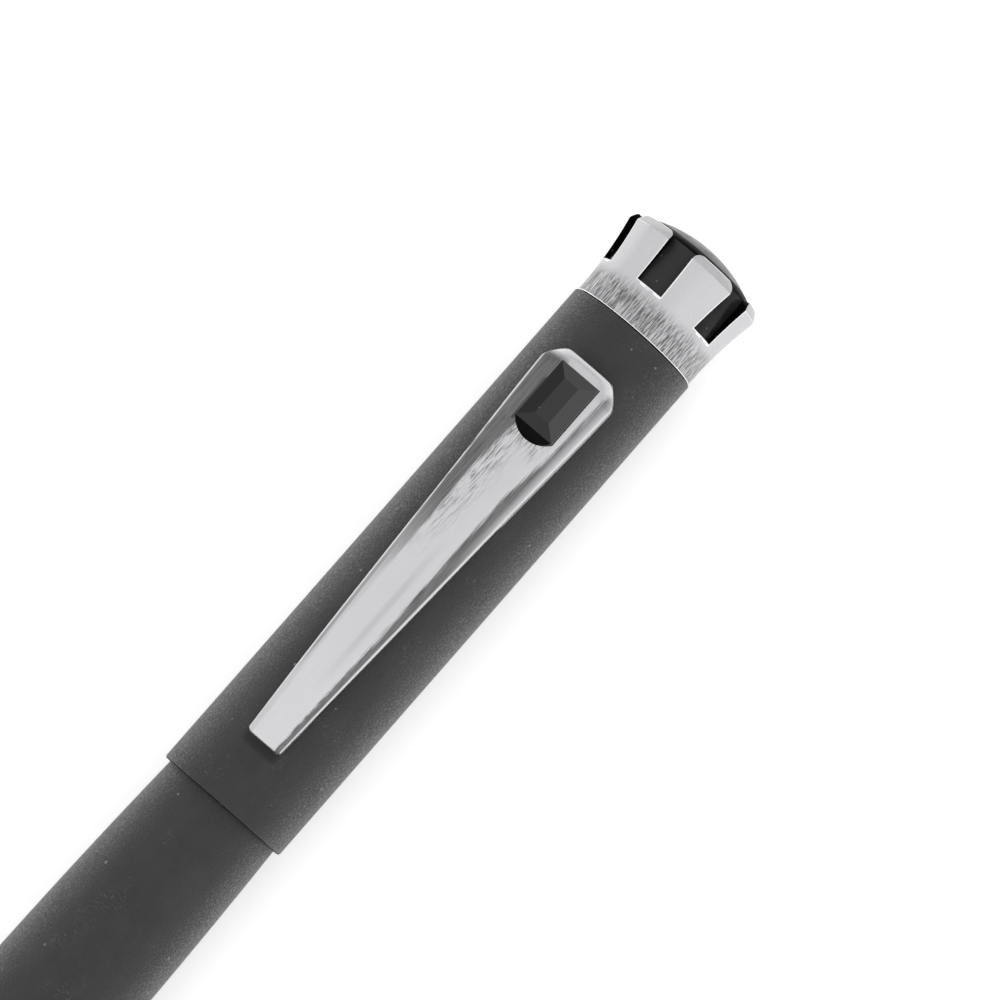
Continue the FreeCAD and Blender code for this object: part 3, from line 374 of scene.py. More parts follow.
def painted_shoulder_shade(paint, along, across):
    """Painted shade along both shoulders of the clip, for dark reflections there, ragged on its inner
    side.
    """
    tip_half = CLIP_STATIONS[0][1]
    half = paint.maths(
        "ADD", paint.maths("MULTIPLY", along, CLIP_TAPER), tip_half - CLIP_TIP * CLIP_TAPER
    )
    share = paint.maths("DIVIDE", paint.away(across), half)
    streak = paint.noise(0.07, along=50.0, detail=4.0, rough=0.65, shift=1.3)
    ragged = paint.maths("ADD", share, paint.span(streak, 0.3, 0.7, -0.07, 0.07))
    widening = paint.span(along, *SHOULDERS_WIDEN, 0.0, 0.13)
    narrowing = paint.product(
        paint.span(along, *WINDOW_NEARS, 0.0, 0.14), paint.span(across, *OVER_MIDDLE, 1.0, -1.4)
    )
    ragged = paint.maths("SUBTRACT", paint.maths("ADD", ragged, widening), narrowing)
    inside = paint.span(ragged, 0.66, 0.77, smooth=True)
    rim = paint.span(share, 0.92, 0.97, 1.0, 0.0, smooth=True)

    right = paint.span(across, *OVER_MIDDLE, 0.95, 0.0)
    left = paint.span(along, *LEFT_DARKENS, 0.15, 0.95, smooth=True)
    left_line = paint.product(
        paint.span(share, 0.8, 0.86),
        paint.span(along, *LEFT_LINE_STARTS, 0.0, 0.6),
        paint.span(across, *LEFT_OF_MIDDLE),
    )
    side = paint.most(right, left, left_line)
    head = paint.most(
        paint.span(along, *HEAD_STARTS, 1.0, 0.95), paint.span(across, *LEFT_OF_MIDDLE)
    )
    before_end = paint.span(along, *HEAD_ENDS, 1.0, 0.0)
    fading = paint.product(
        paint.span(along, *RIGHT_STARTS_TO_FADE, 0.0, 0.7),
        paint.span(share, 0.76, 0.94),
        paint.span(across, *OVER_MIDDLE, 1.0, 0.0),
    )
    kept = paint.maths("SUBTRACT", 1.0, fading)
    uneven = paint.span(streak, 0.35, 0.65, 0.8, 1.0)
    return paint.product(inside, rim, side, before_end, head, uneven, kept)


def clip_dashes(paint, along, across):
    """Short dark streaks below the button, most of them on the clip's left half."""
    dash = paint.span(paint.noise(0.1, along=15.0, detail=3.0, rough=0.6, shift=7.7), 0.5, 0.6)
    left_half = paint.product(paint.span(along, *FAN_STARTS), paint.span(across, -0.7, 1.5))
    by_window = paint.product(
        paint.span(along, *DASHES_BY_WINDOW, 0.0, 0.8), paint.span(across, -2.2, -1.4)
    )
    return paint.product(
        dash, paint.most(left_half, by_window), paint.span(along, *FAN_ENDS, 0.95, 0.0)
    )


def clip_painted_shade(paint):
    """Painted shade on the clip's upper side: its shoulders, its streaks, a darker middle streak and
    a painted shadow by the window.
    """
    along, across, _ = paint.spot()
    middle_streak = paint.product(
        paint.span(paint.away(across, -0.55), 0.05, 0.5, 0.17, 0.0, smooth=True),
        paint.span(along, *MIDDLE_STREAK_STARTS),
        paint.span(along, *MIDDLE_STREAK_ENDS, 1.0, 0.0),
    )
    # Painted shadow: a dark line beside the button's window on the clip's left, as the gap shades it.
    window_gap_shadow = paint.product(
        paint.span(across, 2.27, 2.42, 1.0, 0.0),
        paint.maths("GREATER_THAN", across, 2.0),
        paint.span(along, *WINDOW_SHADOW_STARTS),
        paint.span(along, *WINDOW_SHADOW_ENDS, 1.0, 0.0),
    )
    shoulders = painted_shoulder_shade(paint, along, across)
    dashes = clip_dashes(paint, along, across)
    marks = paint.most(shoulders, dashes, middle_streak, window_gap_shadow)
    return paint.product(marks, paint.span(paint.part(paint.normal(), "Z"), 0.15, 0.4))


def gloss_black(name="gloss_black", level=0.006, rough=0.13, shine=0.5, lit_side=None):
    """Polished black moulding with haze, specks of dust and fine rubs.

    The last argument paints light: faces that turn its way are paler, as if lit from there. It gives
    the paler level, the direction, and the lean from which the paling starts and at which it's full.
    """
    paint = Paint(name)
    haze = paint.noise(1.4, detail=3.0)
    fine = paint.noise(0.05, along=6.0, detail=2.0, shift=3.3)
    colour = paint.blend(paint.span(haze, 0.35, 0.7), grey(level), grey(level * 2.2))
    if lit_side:
        pale, direction, start, full = lit_side
        lean = paint.node("ShaderNodeVectorMath", operation="DOT_PRODUCT")
        paint.plug(lean.inputs[0], paint.normal())
        lean.inputs[1].default_value = direction
        colour = paint.blend(paint.span(lean.outputs["Value"], start, full), colour, grey(pale))
    dust_level = 0.25
    dust = paint.product(paint.specks(0.9, 0.08, 0.3), 0.4)
    colour = paint.blend(dust, colour, grey(dust_level))
    paint.set(Base_Color=colour, Roughness=paint.span(haze, 0.3, 0.7, rough * 0.8, rough * 1.5))
    paint.set(Specular_IOR_Level=shine, Coat_Weight=shine / 8, Coat_Roughness=0.06)
    paint.set(Normal=paint.bump(fine, 0.002, 0.5))
    return paint.material


def moulded(name, low, high, rough, grain=0.09, **extra):
    """Injection-moulded plastic with a fine spark-eroded grain and slight colour drift."""
    paint = Paint(name)
    texture = paint.noise(grain, detail=3.0, rough=0.6)
    drift = paint.noise(3.0, detail=2.0, shift=6.0)
    shade = paint.span(paint.mixture(0.55, texture, drift), 0.38, 0.62)
    paint.set(Base_Color=paint.blend(shade, low, high))
    paint.set(Roughness=paint.span(texture, 0.3, 0.7, rough * 0.85, rough * 1.2))
    paint.set(Normal=paint.bump(texture, 0.012, 0.6), **extra)
    return paint.material


def turned_metal(name, low, high, rough=0.25):
    """Metal turned on a lathe: fine rings round the axis, and slight tarnish."""
    paint = Paint(name)
    ring = 0.05
    grain = paint.noise(ring, along=1.0, detail=2.0, rough=0.6)
    rings = paint.node("ShaderNodeTexNoise", noise_dimensions="1D")
    rings.inputs["Scale"].default_value = 1.0
    paint.plug(
        rings.inputs["W"], paint.maths("MULTIPLY", paint.part(paint.where, "X"), 1 / (ring * MM))
    )
    marks = paint.mixture(0.7, rings.outputs["Fac"], grain)
    tarnish = paint.noise(1.8, detail=3.0, shift=8.0)
    colour = paint.blend(paint.span(marks, 0.4, 0.6, 0.0, 0.6), high, low)
    colour = paint.blend(paint.span(tarnish, 0.45, 0.75, 0.0, 0.6), colour, low)
    paint.set(Base_Color=colour, Metallic=1.0)
    paint.set(Roughness=paint.span(marks, 0.35, 0.65, rough * 0.8, rough * 1.4))
    paint.set(Normal=paint.bump(marks, 0.006, 0.7))
    return paint.material


def fibre(name, low, high, size=0.03):
    """A bundle of fibres that runs along the pen, stained unevenly."""
    paint = Paint(name)
    strands = paint.noise(size, along=30.0, detail=2.0, rough=0.6)
    stain = paint.noise(1.1, along=2.0, detail=3.0, shift=2.0)
    colour = paint.blend(paint.span(strands, 0.38, 0.62), low, high)
    colour = paint.blend(paint.span(stain, 0.4, 0.7, 0.0, 0.55), colour, low)
    paint.set(Base_Color=colour, Roughness=0.85, Sheen_Weight=0.15)
    paint.set(Normal=paint.bump(strands, 0.03, 0.9))
    return paint.material


def clear_epoxy():
    """Clear lamp body with a violet cast and slight flow lines."""
    paint = Paint("lamp_epoxy")
    flow = paint.noise(0.7, along=2.0, detail=2.0)
    colour = paint.blend(paint.span(flow, 0.35, 0.7), (0.84, 0.82, 0.97), (0.93, 0.92, 1.0))
    paint.set(Base_Color=colour, Transmission_Weight=0.85, IOR=1.53)
    paint.set(Roughness=paint.span(flow, 0.3, 0.7, 0.03, 0.09))
    paint.set(Normal=paint.bump(flow, 0.004, 0.4))
    return paint.material


COAT = soft_touch()
STEEL = brushed_steel("brushed_steel")
CROWN_STEEL = brushed_steel(
    "crown_steel", level=0.53, depth=0.003, contrast=0.12, darken_mask=crown_foot_streaks, brighten_mask=crown_painted_highlights
)
CLIP_STEEL = brushed_steel(
    "clip_steel", level=0.62, rough=0.3, depth=0.003, contrast=0.2, darken_mask=clip_painted_shade
)
# A darker copy of the crown's steel: painted shade on the band between its rim and its lip.
SHADED_BEVEL_STEEL = brushed_steel("crown_bevel_painted_shade", level=0.45, depth=0.003, contrast=0.3)
# A much brighter copy of the steel: painted highlight lines on the crown's edges.
HIGHLIGHT_STEEL = brushed_steel("painted_highlight_steel", level=0.9, rough=0.2, depth=0.002, contrast=0.1)
WIRE = brushed_steel("drawn_wire", level=0.5, rough=0.22, depth=0.004, spread=0.0)
GLOSS = gloss_black()
# Painted light: the button's facets grow paler the more they face -Y and +X.
BUTTON_BLACK = gloss_black(
    "button_black", level=0.001, rough=0.16, shine=0.3, lit_side=(0.05, (0.45, -1.0, 0.0), -0.45, 0.5)
)
# Painted light: the window's upward faces are painted paler, as if lit from above.
WINDOW = gloss_black(
    "window_black", level=0.008, rough=0.24, shine=0.16, lit_side=(0.028, (0.0, 0.0, 1.0), 0.9, 0.98)
)
# Near-black gloss: enamel on the crown's slot walls, and painted shade in seams, gaps and hollows.
ENAMEL_AND_SHADE = gloss_black("enamel_and_painted_shade", level=0.0015, rough=0.4, shine=0.04)
SECTION = moulded("section_moulding", grey(0.018), grey(0.03), rough=0.36)
LINER = moulded("liner_moulding", grey(0.11), grey(0.15), rough=0.45)
NATURAL = moulded(
    "natural_moulding", (0.62, 0.61, 0.55), (0.74, 0.73, 0.68), rough=0.32, Subsurface_Weight=0.2
)
BRASS = turned_metal("turned_brass", (0.5, 0.33, 0.13), (0.78, 0.56, 0.27))
CONTACT = turned_metal("contact_strip", (0.62, 0.45, 0.2), (0.82, 0.64, 0.36), rough=0.2)
NICKEL = turned_metal("nickel_can", (0.5, 0.49, 0.47), (0.74, 0.73, 0.71), rough=0.18)
TIN = turned_metal("tinned_lead", (0.5, 0.5, 0.5), (0.72, 0.72, 0.72), rough=0.3)
RUBBER = moulded("seal_rubber", grey(0.012), grey(0.022), rough=0.6, grain=0.06)
NIB = fibre("nib_felt", (0.11, 0.06, 0.02), (0.26, 0.16, 0.06))
WICK = fibre("wick_felt", (0.2, 0.12, 0.04), (0.42, 0.28, 0.12), size=0.05)
EPOXY = clear_epoxy()


# ---------------------------------------------------------------- shapes


def corner_arc(before, corner, after, radius, steps):
    """The points that round one corner of a profile."""
    to_before, to_after = before - corner, after - corner
    half = to_before.angle(to_after) / 2
    reach = min(radius / math.tan(half), 0.48 * to_before.length, 0.48 * to_after.length)
    radius = reach * math.tan(half)
    middle = corner + (to_before.normalized() + to_after.normalized()).normalized() * (
        radius / math.sin(half)
    )
    first = corner + to_before.normalized() * reach - middle
    last = corner + to_after.normalized() * reach - middle
    turn = first.angle_signed(last)
    points = []
    for step in range(steps + 1):
        angle = -turn * step / steps
        points.append(
            middle
            + Vector(
                (
                    first.x * math.cos(angle) - first.y * math.sin(angle),
                    first.x * math.sin(angle) + first.y * math.cos(angle),
                )
            )
        )
    return points


def rounded(corners, steps=4):
    """A closed profile whose corners (x, r, radius) are rounded where radius isn't 0."""
    spots = [Vector(corner[:2]) for corner in corners]
    points = []
    for index, corner in enumerate(corners):
        radius = corner[2] if len(corner) > 2 else 0.0
        before, after = spots[index - 1], spots[(index + 1) % len(spots)]
        on_axis = spots[index].y < 1e-6
        if radius and not on_axis:
            points += corner_arc(before, spots[index], after, radius, steps)
        else:
            points.append(spots[index])
    return points


def arc(start, end, centre_x, steps=10):
    """Points between start and end on a circle whose centre is on the axis: a dome."""
    radius = math.hypot(start[0] - centre_x, start[1])
    first = math.atan2(start[1], start[0] - centre_x)
    last = math.atan2(end[1], end[0] - centre_x)
    return [
        (
            centre_x + radius * math.cos(first + (last - first) * step / steps),
            radius * math.sin(first + (last - first) * step / steps),
        )
        for step in range(1, steps)
    ]


def bow(start, end, height, steps=12):
    """Points between start and end that bow outwards by height, or inwards if it's negative."""
    points = []
    for step in range(1, steps):
        share = step / steps
        points.append(
            (
                start[0] + (end[0] - start[0]) * share,
                start[1] + (end[1] - start[1]) * share + 4 * height * share * (1 - share),
            )
        )
    return points


def as_mesh(name, made):
    """The mesh of what was made, with its faces turned outwards."""
    bmesh.ops.recalc_face_normals(made, faces=made.faces)
    mesh = bpy.data.meshes.new(name)
    made.to_mesh(mesh)
    made.free()
    return mesh


def finish_mesh(name, mesh, material, body, *nodes, sharp=34.0):
    """Shades a mesh, gives it its material, and makes it ride in place of its CAD nodes."""
    mesh.name = name
    mesh.materials.append(material)
    mesh.shade_smooth()
    mesh.set_sharp_from_angle(angle=math.radians(sharp))
    piece = bpy.data.objects.new(name, mesh)
    bpy.context.scene.collection.objects.link(piece)
    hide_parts(*nodes)
    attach(piece, body)
    return piece


def lathe_mesh(corners, sides=160, steps=4):
    """Turns a closed profile round the pen's axis."""
    profile = rounded(corners, steps)
    made = bmesh.new()
    rings = []
    for point in profile:
        if point.y < 1e-6:
            rings.append([made.verts.new(place(point.x, 0.0, 0.0))])
            continue
        ring = []
        for side in range(sides):
            angle = 2 * math.pi * side / sides
            ring.append(
                made.verts.new(
                    place(point.x, point.y * math.sin(angle), point.y * math.cos(angle))
                )
            )
        rings.append(ring)
    for index, ring in enumerate(rings):
        after = rings[(index + 1) % len(rings)]
        if len(ring) == 1 and len(after) == 1:
            continue
        for side in range(sides):
            follow = (side + 1) % sides
            if len(ring) == 1:
                made.faces.new((ring[0], after[follow], after[side]))
            elif len(after) == 1:
                made.faces.new((ring[side], ring[follow], after[0]))
            else:
                made.faces.new((ring[side], ring[follow], after[follow], after[side]))
    return as_mesh("turned", made)


def lathe(node, corners, material, body, sides=160, steps=4):
    return finish_mesh(f"{node}_look", lathe_mesh(corners, sides, steps), material, body, node)


def prism(name, outline, low, high, axis="Z"):
    """A solid cutter: an outline pushed from low to high along an axis."""
    made = bmesh.new()
    layers = []
    for level in (low, high):
        layer = []
        for a, b in outline:
            spot = {"Z": (a, b, level), "Y": (a, level, b)}[axis]
            layer.append(made.verts.new(place(*spot)))
        layers.append(layer)
    count = len(outline)
    made.faces.new(layers[0])
    made.faces.new(layers[1])
    for index in range(count):
        follow = (index + 1) % count
        made.faces.new(
            (layers[0][index], layers[0][follow], layers[1][follow], layers[1][index])
        )
    return as_mesh(name, made)


def carve(mesh, cutters):
    """Cuts each cutter out of a mesh."""
    solid = bpy.data.objects.new("solid", mesh)
    bpy.context.scene.collection.objects.link(solid)
    scratch = [solid]
    for cutter_mesh in cutters:
        cutter = bpy.data.objects.new("cutter", cutter_mesh)
        bpy.context.scene.collection.objects.link(cutter)
        scratch.append(cutter)
        step = solid.modifiers.new("cut", "BOOLEAN")
        step.operation = "DIFFERENCE"
        step.solver = "EXACT"
        step.object = cutter
    bpy.context.view_layer.update()
    graph = bpy.context.evaluated_depsgraph_get()
    result = bpy.data.meshes.new_from_object(solid.evaluated_get(graph))
    for item in scratch:
        bpy.data.objects.remove(item)
    return result


def soften(piece, width, angle=40.0):
    """A small bevel on the sharp edges, which catches the light."""
    bevel = piece.modifiers.new("edge", "BEVEL")
    bevel.width = width * MM
    bevel.segments = 2
    bevel.limit_method = "ANGLE"
    bevel.angle_limit = math.radians(angle)
    bevel.harden_normals = True


# ---------------------------------------------------------------- barrel and tail

# The barrel: the ends of its outside, how far that bows out between them, and its three bores,
# for the tail ring, for the cartridge and for the thread insert.
BARREL_TAIL, BARREL_FRONT = (5.6, 4.896), (79.0, 5.816)
BARREL_BOW = 1.098
TAIL_BORE, MAIN_BORE, FRONT_BORE = 3.9, 4.3, 5.28
TAIL_BORE_END, FRONT_BORE_START = 9.6, 65.8
lathe(
    "barrel_shell",
    [
        (BARREL_TAIL[0], TAIL_BORE, 0.05),
        (TAIL_BORE_END, TAIL_BORE),
        (TAIL_BORE_END, MAIN_BORE),
        (FRONT_BORE_START, MAIN_BORE),
        (FRONT_BORE_START, FRONT_BORE),
        (BARREL_FRONT[0], FRONT_BORE, 0.08),
        (*BARREL_FRONT, 0.1),
        *bow(BARREL_FRONT, BARREL_TAIL, BARREL_BOW, steps=48),
        (*BARREL_TAIL, 0.08),
    ],
    COAT,
    "barrel",
    sides=192,
)

# The tail ring, with the spigot that holds it in the barrel.
RING_TAIL, RING_BORE, RING_RADIUS = 1.6, 3.4, 4.78
SPIGOT_END, SPIGOT_RADIUS = 9.3, 3.88
lathe(
    "tail_ring",
    [
        (RING_TAIL, RING_BORE, 0.06),
        (SPIGOT_END, RING_BORE),
        (SPIGOT_END, SPIGOT_RADIUS, 0.1),
        (BARREL_TAIL[0], SPIGOT_RADIUS),
        (BARREL_TAIL[0], RING_RADIUS, 0.06),
        (RING_TAIL, RING_RADIUS, 0.35),
    ],
    STEEL,
    "barrel",
    steps=6,
)

# The tail plug: its stem, the edge of its dome, and the middle of the dome's circle.
STEM_END, STEM_RADIUS = 7.8, 3.38
TAIL_DOME_EDGE = (1.58, 4.2)
TAIL_DOME_X = 6.3723
lathe(
    "tail_plug",
    [
        (0.0, 0.0),
        (STEM_END, 0.0),
        (STEM_END, STEM_RADIUS, 0.1),
        (TAIL_DOME_EDGE[0], STEM_RADIUS),
        (*TAIL_DOME_EDGE, 0.12),
        *arc(TAIL_DOME_EDGE, (0.0, 0.0), TAIL_DOME_X, steps=16),
    ],
    GLOSS,
    "barrel",
)

# The thread insert: its ends, its radii, and its row of V grooves.
INSERT_START, INSERT_END = 66.2, 78.0
INSERT_BORE, GROOVE_RADIUS, INSERT_RADIUS = 4.9, 5.12, 5.26
FIRST_GROOVE, GROOVE_COUNT, THREAD_PITCH = 70.4, 7, 0.8
grooves = []
for number in range(GROOVE_COUNT):
    start = FIRST_GROOVE + THREAD_PITCH * number
    grooves.append((start, INSERT_BORE))
    grooves.append((start + 0.4, GROOVE_RADIUS, 0.04))
    grooves.append((start + 0.72, INSERT_BORE))
lathe(
    "thread_insert",
    [
        (INSERT_START, INSERT_BORE, 0.05),
        *grooves,
        (INSERT_END, INSERT_BORE, 0.05),
        (INSERT_END, INSERT_RADIUS, 0.05),
        (INSERT_START, INSERT_RADIUS, 0.05),
    ],
    BRASS,
    "barrel",
    sides=96,
    steps=2,
)

# ---------------------------------------------------------------- cap

CAP_LIP, CAP_BORE, CAP_RADIUS = 77.0, 6.0, 6.5
DARK_AT_LIP, DARK_AT_FOOT = 0.09, 0.06  # how much of the shell at each end is painted near-black, as shade at the seams
cap = lathe(
    "cap_shell",
    [
        (CAP_LIP, CAP_BORE, 0.06),
        (CROWN_FOOT, CAP_BORE),
        (CROWN_FOOT, CAP_RADIUS, 0.12),
        (CAP_LIP, CAP_RADIUS, 0.24),
    ],
    COAT,
    "cap",
    sides=224,
    steps=6,
)
# Painted shade: the shell's ends, at the lip and against the crown, take the near-black material.
cap.data.materials.append(ENAMEL_AND_SHADE)
for face in cap.data.polygons:
    x, _ = measured(face.center)
    if not CAP_LIP + DARK_AT_LIP < x < CROWN_FOOT - DARK_AT_FOOT:
        face.material_index = 1

# ---------------------------------------------------------------- crown

# The crown: the sleeve inside the cap, with its groove for the seal, and the skirt that shows.
SLEEVE_START, SLEEVE_BORE, SLEEVE_RADIUS = 126.85, 5.0, 5.95
SEAL_START, SEAL_END, SEAL_RADIUS = 128.05, 129.05, 5.42
WINDOW_SEAT, WINDOW_BORE = 131.95, 6.12
CROWN_TOP = 139.6
CROWN_LIP = (CROWN_TOP, 6.62)
CROWN_RIM = (138.75, 7.1)
CROWN_BAND = (132.45, 6.34)
crown_profile = [
    (SLEEVE_START, SLEEVE_BORE, 0.08),
    (WINDOW_SEAT, SLEEVE_BORE),
    (WINDOW_SEAT, WINDOW_BORE),
    (CROWN_TOP, WINDOW_BORE, 0.1),
    (*CROWN_LIP, 0.1),
    *bow(CROWN_LIP, CROWN_RIM, 0.05, steps=4),
    (*CROWN_RIM, 0.3),
    *bow(CROWN_RIM, CROWN_BAND, -0.133, steps=14),
    CROWN_BAND,
    (CROWN_FOOT, CROWN_BAND[1], 0.14),
    (CROWN_FOOT, SLEEVE_RADIUS),
    (SEAL_END, SLEEVE_RADIUS, 0.04),
    (SEAL_END, SEAL_RADIUS),
    (SEAL_START, SEAL_RADIUS),
    (SEAL_START, SLEEVE_RADIUS, 0.04),
    (SLEEVE_START, SLEEVE_RADIUS, 0.2),
]


def slot_outline():
    """The slot's plan: parallel sides whose mouth opens with a rounded corner each side."""
    mouth = CROWN_TOP - SLOT_ROUND
    side = [(SLOT_FLOOR, SLOT_HALF)]
    steps = 6
    for step in range(steps + 1):
        angle = math.pi / 2 * step / steps
        side.append(
            (
                mouth + SLOT_ROUND * math.sin(angle),
                SLOT_HALF + SLOT_ROUND * (1 - math.cos(angle)),
            )
        )
    side.append((CROWN_TOP + 1, SLOT_HALF + SLOT_ROUND))
    return side + [(x, -y) for x, y in reversed(side)]


def turned_about_axis(mesh, angle):
    """Turns a mesh about the pen's axis, from +Z towards +Y."""
    for vertex in mesh.vertices:
        y, z = vertex.co.y, vertex.co.z - AXIS_Z
        vertex.co.y = y * math.cos(angle) + z * math.sin(angle)
        vertex.co.z = AXIS_Z - y * math.sin(angle) + z * math.cos(angle)
    return mesh


def crown_material(face):
    """The number of a face's material: the brushed steel, the black slot walls (enamel with painted
    shade), painted highlight lines at edges, or the painted-shade bevel.
    """
    brushed, enamel, edge, bevel = range(4)
    x, radius = measured(face.center)
    outward = Vector((0, face.center.y, face.center.z - AXIS_Z)).normalized().dot(face.normal)
    in_slot = SLOT_FLOOR - 0.01 < x < CROWN_TOP - 0.05 and radius > WINDOW_BORE + 0.01
    # The slot walls are near-black: enamel, darkened further as painted shade.
    if in_slot and abs(outward) < 0.3:
        return enamel
    # Painted highlights: bright lines at the crown's foot, its rim and its top edge.
    at_foot = CROWN_FOOT - 0.01 < x < CROWN_FOOT + 0.12 and radius > CROWN_BAND[1] - 0.14
    at_rim = abs(x - CROWN_RIM[0]) < 0.03 and radius > CROWN_RIM[1] - 0.2
    if at_foot or at_rim or x > CROWN_TOP - 0.08:
        return edge
    # Painted shade: the band between the rim and the lip takes the darker copy of the steel.
    if x > CROWN_RIM[0] and radius > CROWN_LIP[1] - 0.02:
        return bevel
    return brushed


slots = []
for number in range(SLOT_COUNT):
    cutter = prism("slot", slot_outline(), 3.0, 9.0)
    turn = SLOT_TURN + math.radians(360 / SLOT_COUNT * number)
    slots.append(turned_about_axis(cutter, turn))
crown_mesh = carve(lathe_mesh(crown_profile, sides=240, steps=5), slots)
crown = finish_mesh("crown_ring_look", crown_mesh, CROWN_STEEL, "crown", "crown_ring", sharp=30.0)
for material in (ENAMEL_AND_SHADE, HIGHLIGHT_STEEL, SHADED_BEVEL_STEEL):
    crown.data.materials.append(material)
for face in crown.data.polygons:
    face.material_index = crown_material(face)
soften(crown, 0.04)

# The window's outside, and the hole for the lamp, which is wider where the lamp's rim sits.
WINDOW_START = 132.05
WINDOW_EDGE = (139.3, 6.08)
WINDOW_SHOULDER = (139.8, 5.6)
WINDOW_TOP = (141.1, 0.0)
WINDOW_DOME_X = WINDOW_TOP[0] - 12.71
LAMP_RIM_END, LAMP_RIM_RADIUS = 133.05, 3.0
LAMP_SIDE_END = (137.4, 2.55)
LAMP_HOLE_END = (139.95, 0.0)
window = lathe(
    "crown_window",
    [
        LAMP_HOLE_END,
        WINDOW_TOP,
        *reversed(arc(WINDOW_SHOULDER, WINDOW_TOP, WINDOW_DOME_X, steps=16)),
        WINDOW_SHOULDER,
        *bow(WINDOW_SHOULDER, WINDOW_EDGE, 0.1, steps=6),
        WINDOW_EDGE,
        (WINDOW_START, WINDOW_EDGE[1], 0.1),
        (WINDOW_START, LAMP_RIM_RADIUS),
        (LAMP_RIM_END, LAMP_RIM_RADIUS),
        (LAMP_RIM_END, LAMP_SIDE_END[1]),
        LAMP_SIDE_END,
        *arc(LAMP_SIDE_END, LAMP_HOLE_END, LAMP_SIDE_END[0], steps=10),
    ],
    WINDOW,
    "crown",
    sides=192,
)
# Painted shade: a near-black ring where the window's dome meets the crown's edge.
window.data.materials.append(ENAMEL_AND_SHADE)
for face in window.data.polygons:
    x, radius = measured(face.center)
    if x > WINDOW_EDGE[0] and radius > WINDOW_SHOULDER[1] - 0.25:
        face.material_index = 1

# ---------------------------------------------------------------- clip


def slope_at(index):
    """How fast the clip's sizes change at a station: the mean of the steps on both sides."""
    steps = []
    for low, high in zip(CLIP_STATIONS, CLIP_STATIONS[1:]):
        steps.append([(b - a) / (high[0] - low[0]) for a, b in zip(low[1:], high[1:])])
    before, after = steps[max(index - 1, 0)], steps[min(index, len(steps) - 1)]
    return [(a + b) / 2 for a, b in zip(before, after)]


def station_at(x):
    """The clip's section sizes at x, read along a smooth curve through the stations."""
    x = min(max(x, CLIP_TIP), CLIP_END)
    index = max(i for i, station in enumerate(CLIP_STATIONS[:-1]) if station[0] <= x)
    low, high = CLIP_STATIONS[index], CLIP_STATIONS[index + 1]
    span = high[0] - low[0]
    t = (x - low[0]) / span
    sizes = []
    for a, b, leave, reach in zip(low[1:], high[1:], slope_at(index), slope_at(index + 1)):
        ease = t * t * (3 - 2 * t)
        bend = t * (1 - t) ** 2 * leave - t * t * (1 - t) * reach
        sizes.append(a + (b - a) * ease + bend * span)
    return sizes


def clip_section(x):
    """Half of the clip's section at x, from the middle of the underside round to the crest."""
    width, rim, crest, flat = station_at(x)
    limit = width
    if x > CLIP_END - HEAD_CORNER[0]:
        share = (x - CLIP_END + HEAD_CORNER[0]) / HEAD_CORNER[0]
        limit = width + (HEAD_CORNER[1] - width) * share**1.45
    if x < CLIP_TIP + TIP_CORNER[0]:
        share = (CLIP_TIP + TIP_CORNER[0] - x) / TIP_CORNER[0]
        limit = width + (TIP_CORNER[1] - width) * share**1.6
    flat = min(flat, flat - (width - limit) * 0.55)
    width = limit
    points = [(0.0, CLIP_BOTTOM), (width - 0.06, CLIP_BOTTOM), (width, CLIP_BOTTOM + 0.06)]
    slope = math.atan2(crest - CLIP_DROP - rim, width - flat)
    rim_steps, flank_steps = 6, 8
    for step in range(rim_steps + 1):
        angle = (math.pi / 2 - slope) * step / rim_steps
        points.append(
            (
                width - RIM_ROUND * (1 - math.cos(angle)),
                rim - RIM_ROUND / 3 + RIM_ROUND * math.sin(angle),
            )
        )
    outer, ridge = Vector(points[-1]), Vector((flat, crest - CLIP_DROP))
    inner = Vector((flat * 0.6, crest - CLIP_DROP * 0.36))
    middle = outer + (ridge - outer) * 0.4
    points.append(tuple(middle))
    for step in range(1, flank_steps + 1):
        share = step / flank_steps
        bent = middle * (1 - share) ** 2 + ridge * 2 * share * (1 - share) + inner * share**2
        points.append(tuple(bent))
    for share in (0.4, 0.2, 0.0):
        points.append((flat * share, crest - CLIP_DROP * share**2))
    return points


def clip_mesh():
    """The clip without its hollows: sections from its tip to its head, joined by faces."""
    tip, end = CLIP_TIP, CLIP_END
    corner = tip + TIP_CORNER[0]
    stations = [tip, tip + 0.06, tip + 0.14, tip + 0.24, corner, corner + 0.4, corner + 1.0]
    steps, corner_steps = 60, 6
    above = 7.0  # only what is higher than this is rounded at the ends
    first, last = stations[-1] + 0.7, end - HEAD_CORNER[0] - 0.4
    stations += [first + (last - first) * step / steps for step in range(steps + 1)]
    stations += [end - HEAD_CORNER[0] * (1 - step / corner_steps) for step in range(corner_steps)]
    stations += [end - 0.14, end - 0.05, end]
    made = bmesh.new()
    rings = []
    for x in stations:
        half = clip_section(x)
        near = min(x - tip, end - x)
        if near < END_ROUND:
            share = 1 - near / END_ROUND
            lower = END_ROUND * (1 - math.sqrt(1 - share * share))
            half = [(y, z - lower * (z > above)) for y, z in half]
        ring = half + [(-y, z) for y, z in reversed(half[1:-1])]
        rings.append([made.verts.new(place(x, y, z)) for y, z in ring])
    count = len(rings[0])
    for before, after in zip(rings, rings[1:]):
        for index in range(count):
            follow = (index + 1) % count
            made.faces.new((before[index], before[follow], after[follow], after[index]))
    made.faces.new(rings[0])
    made.faces.new(rings[-1])
    return as_mesh("clip", made)


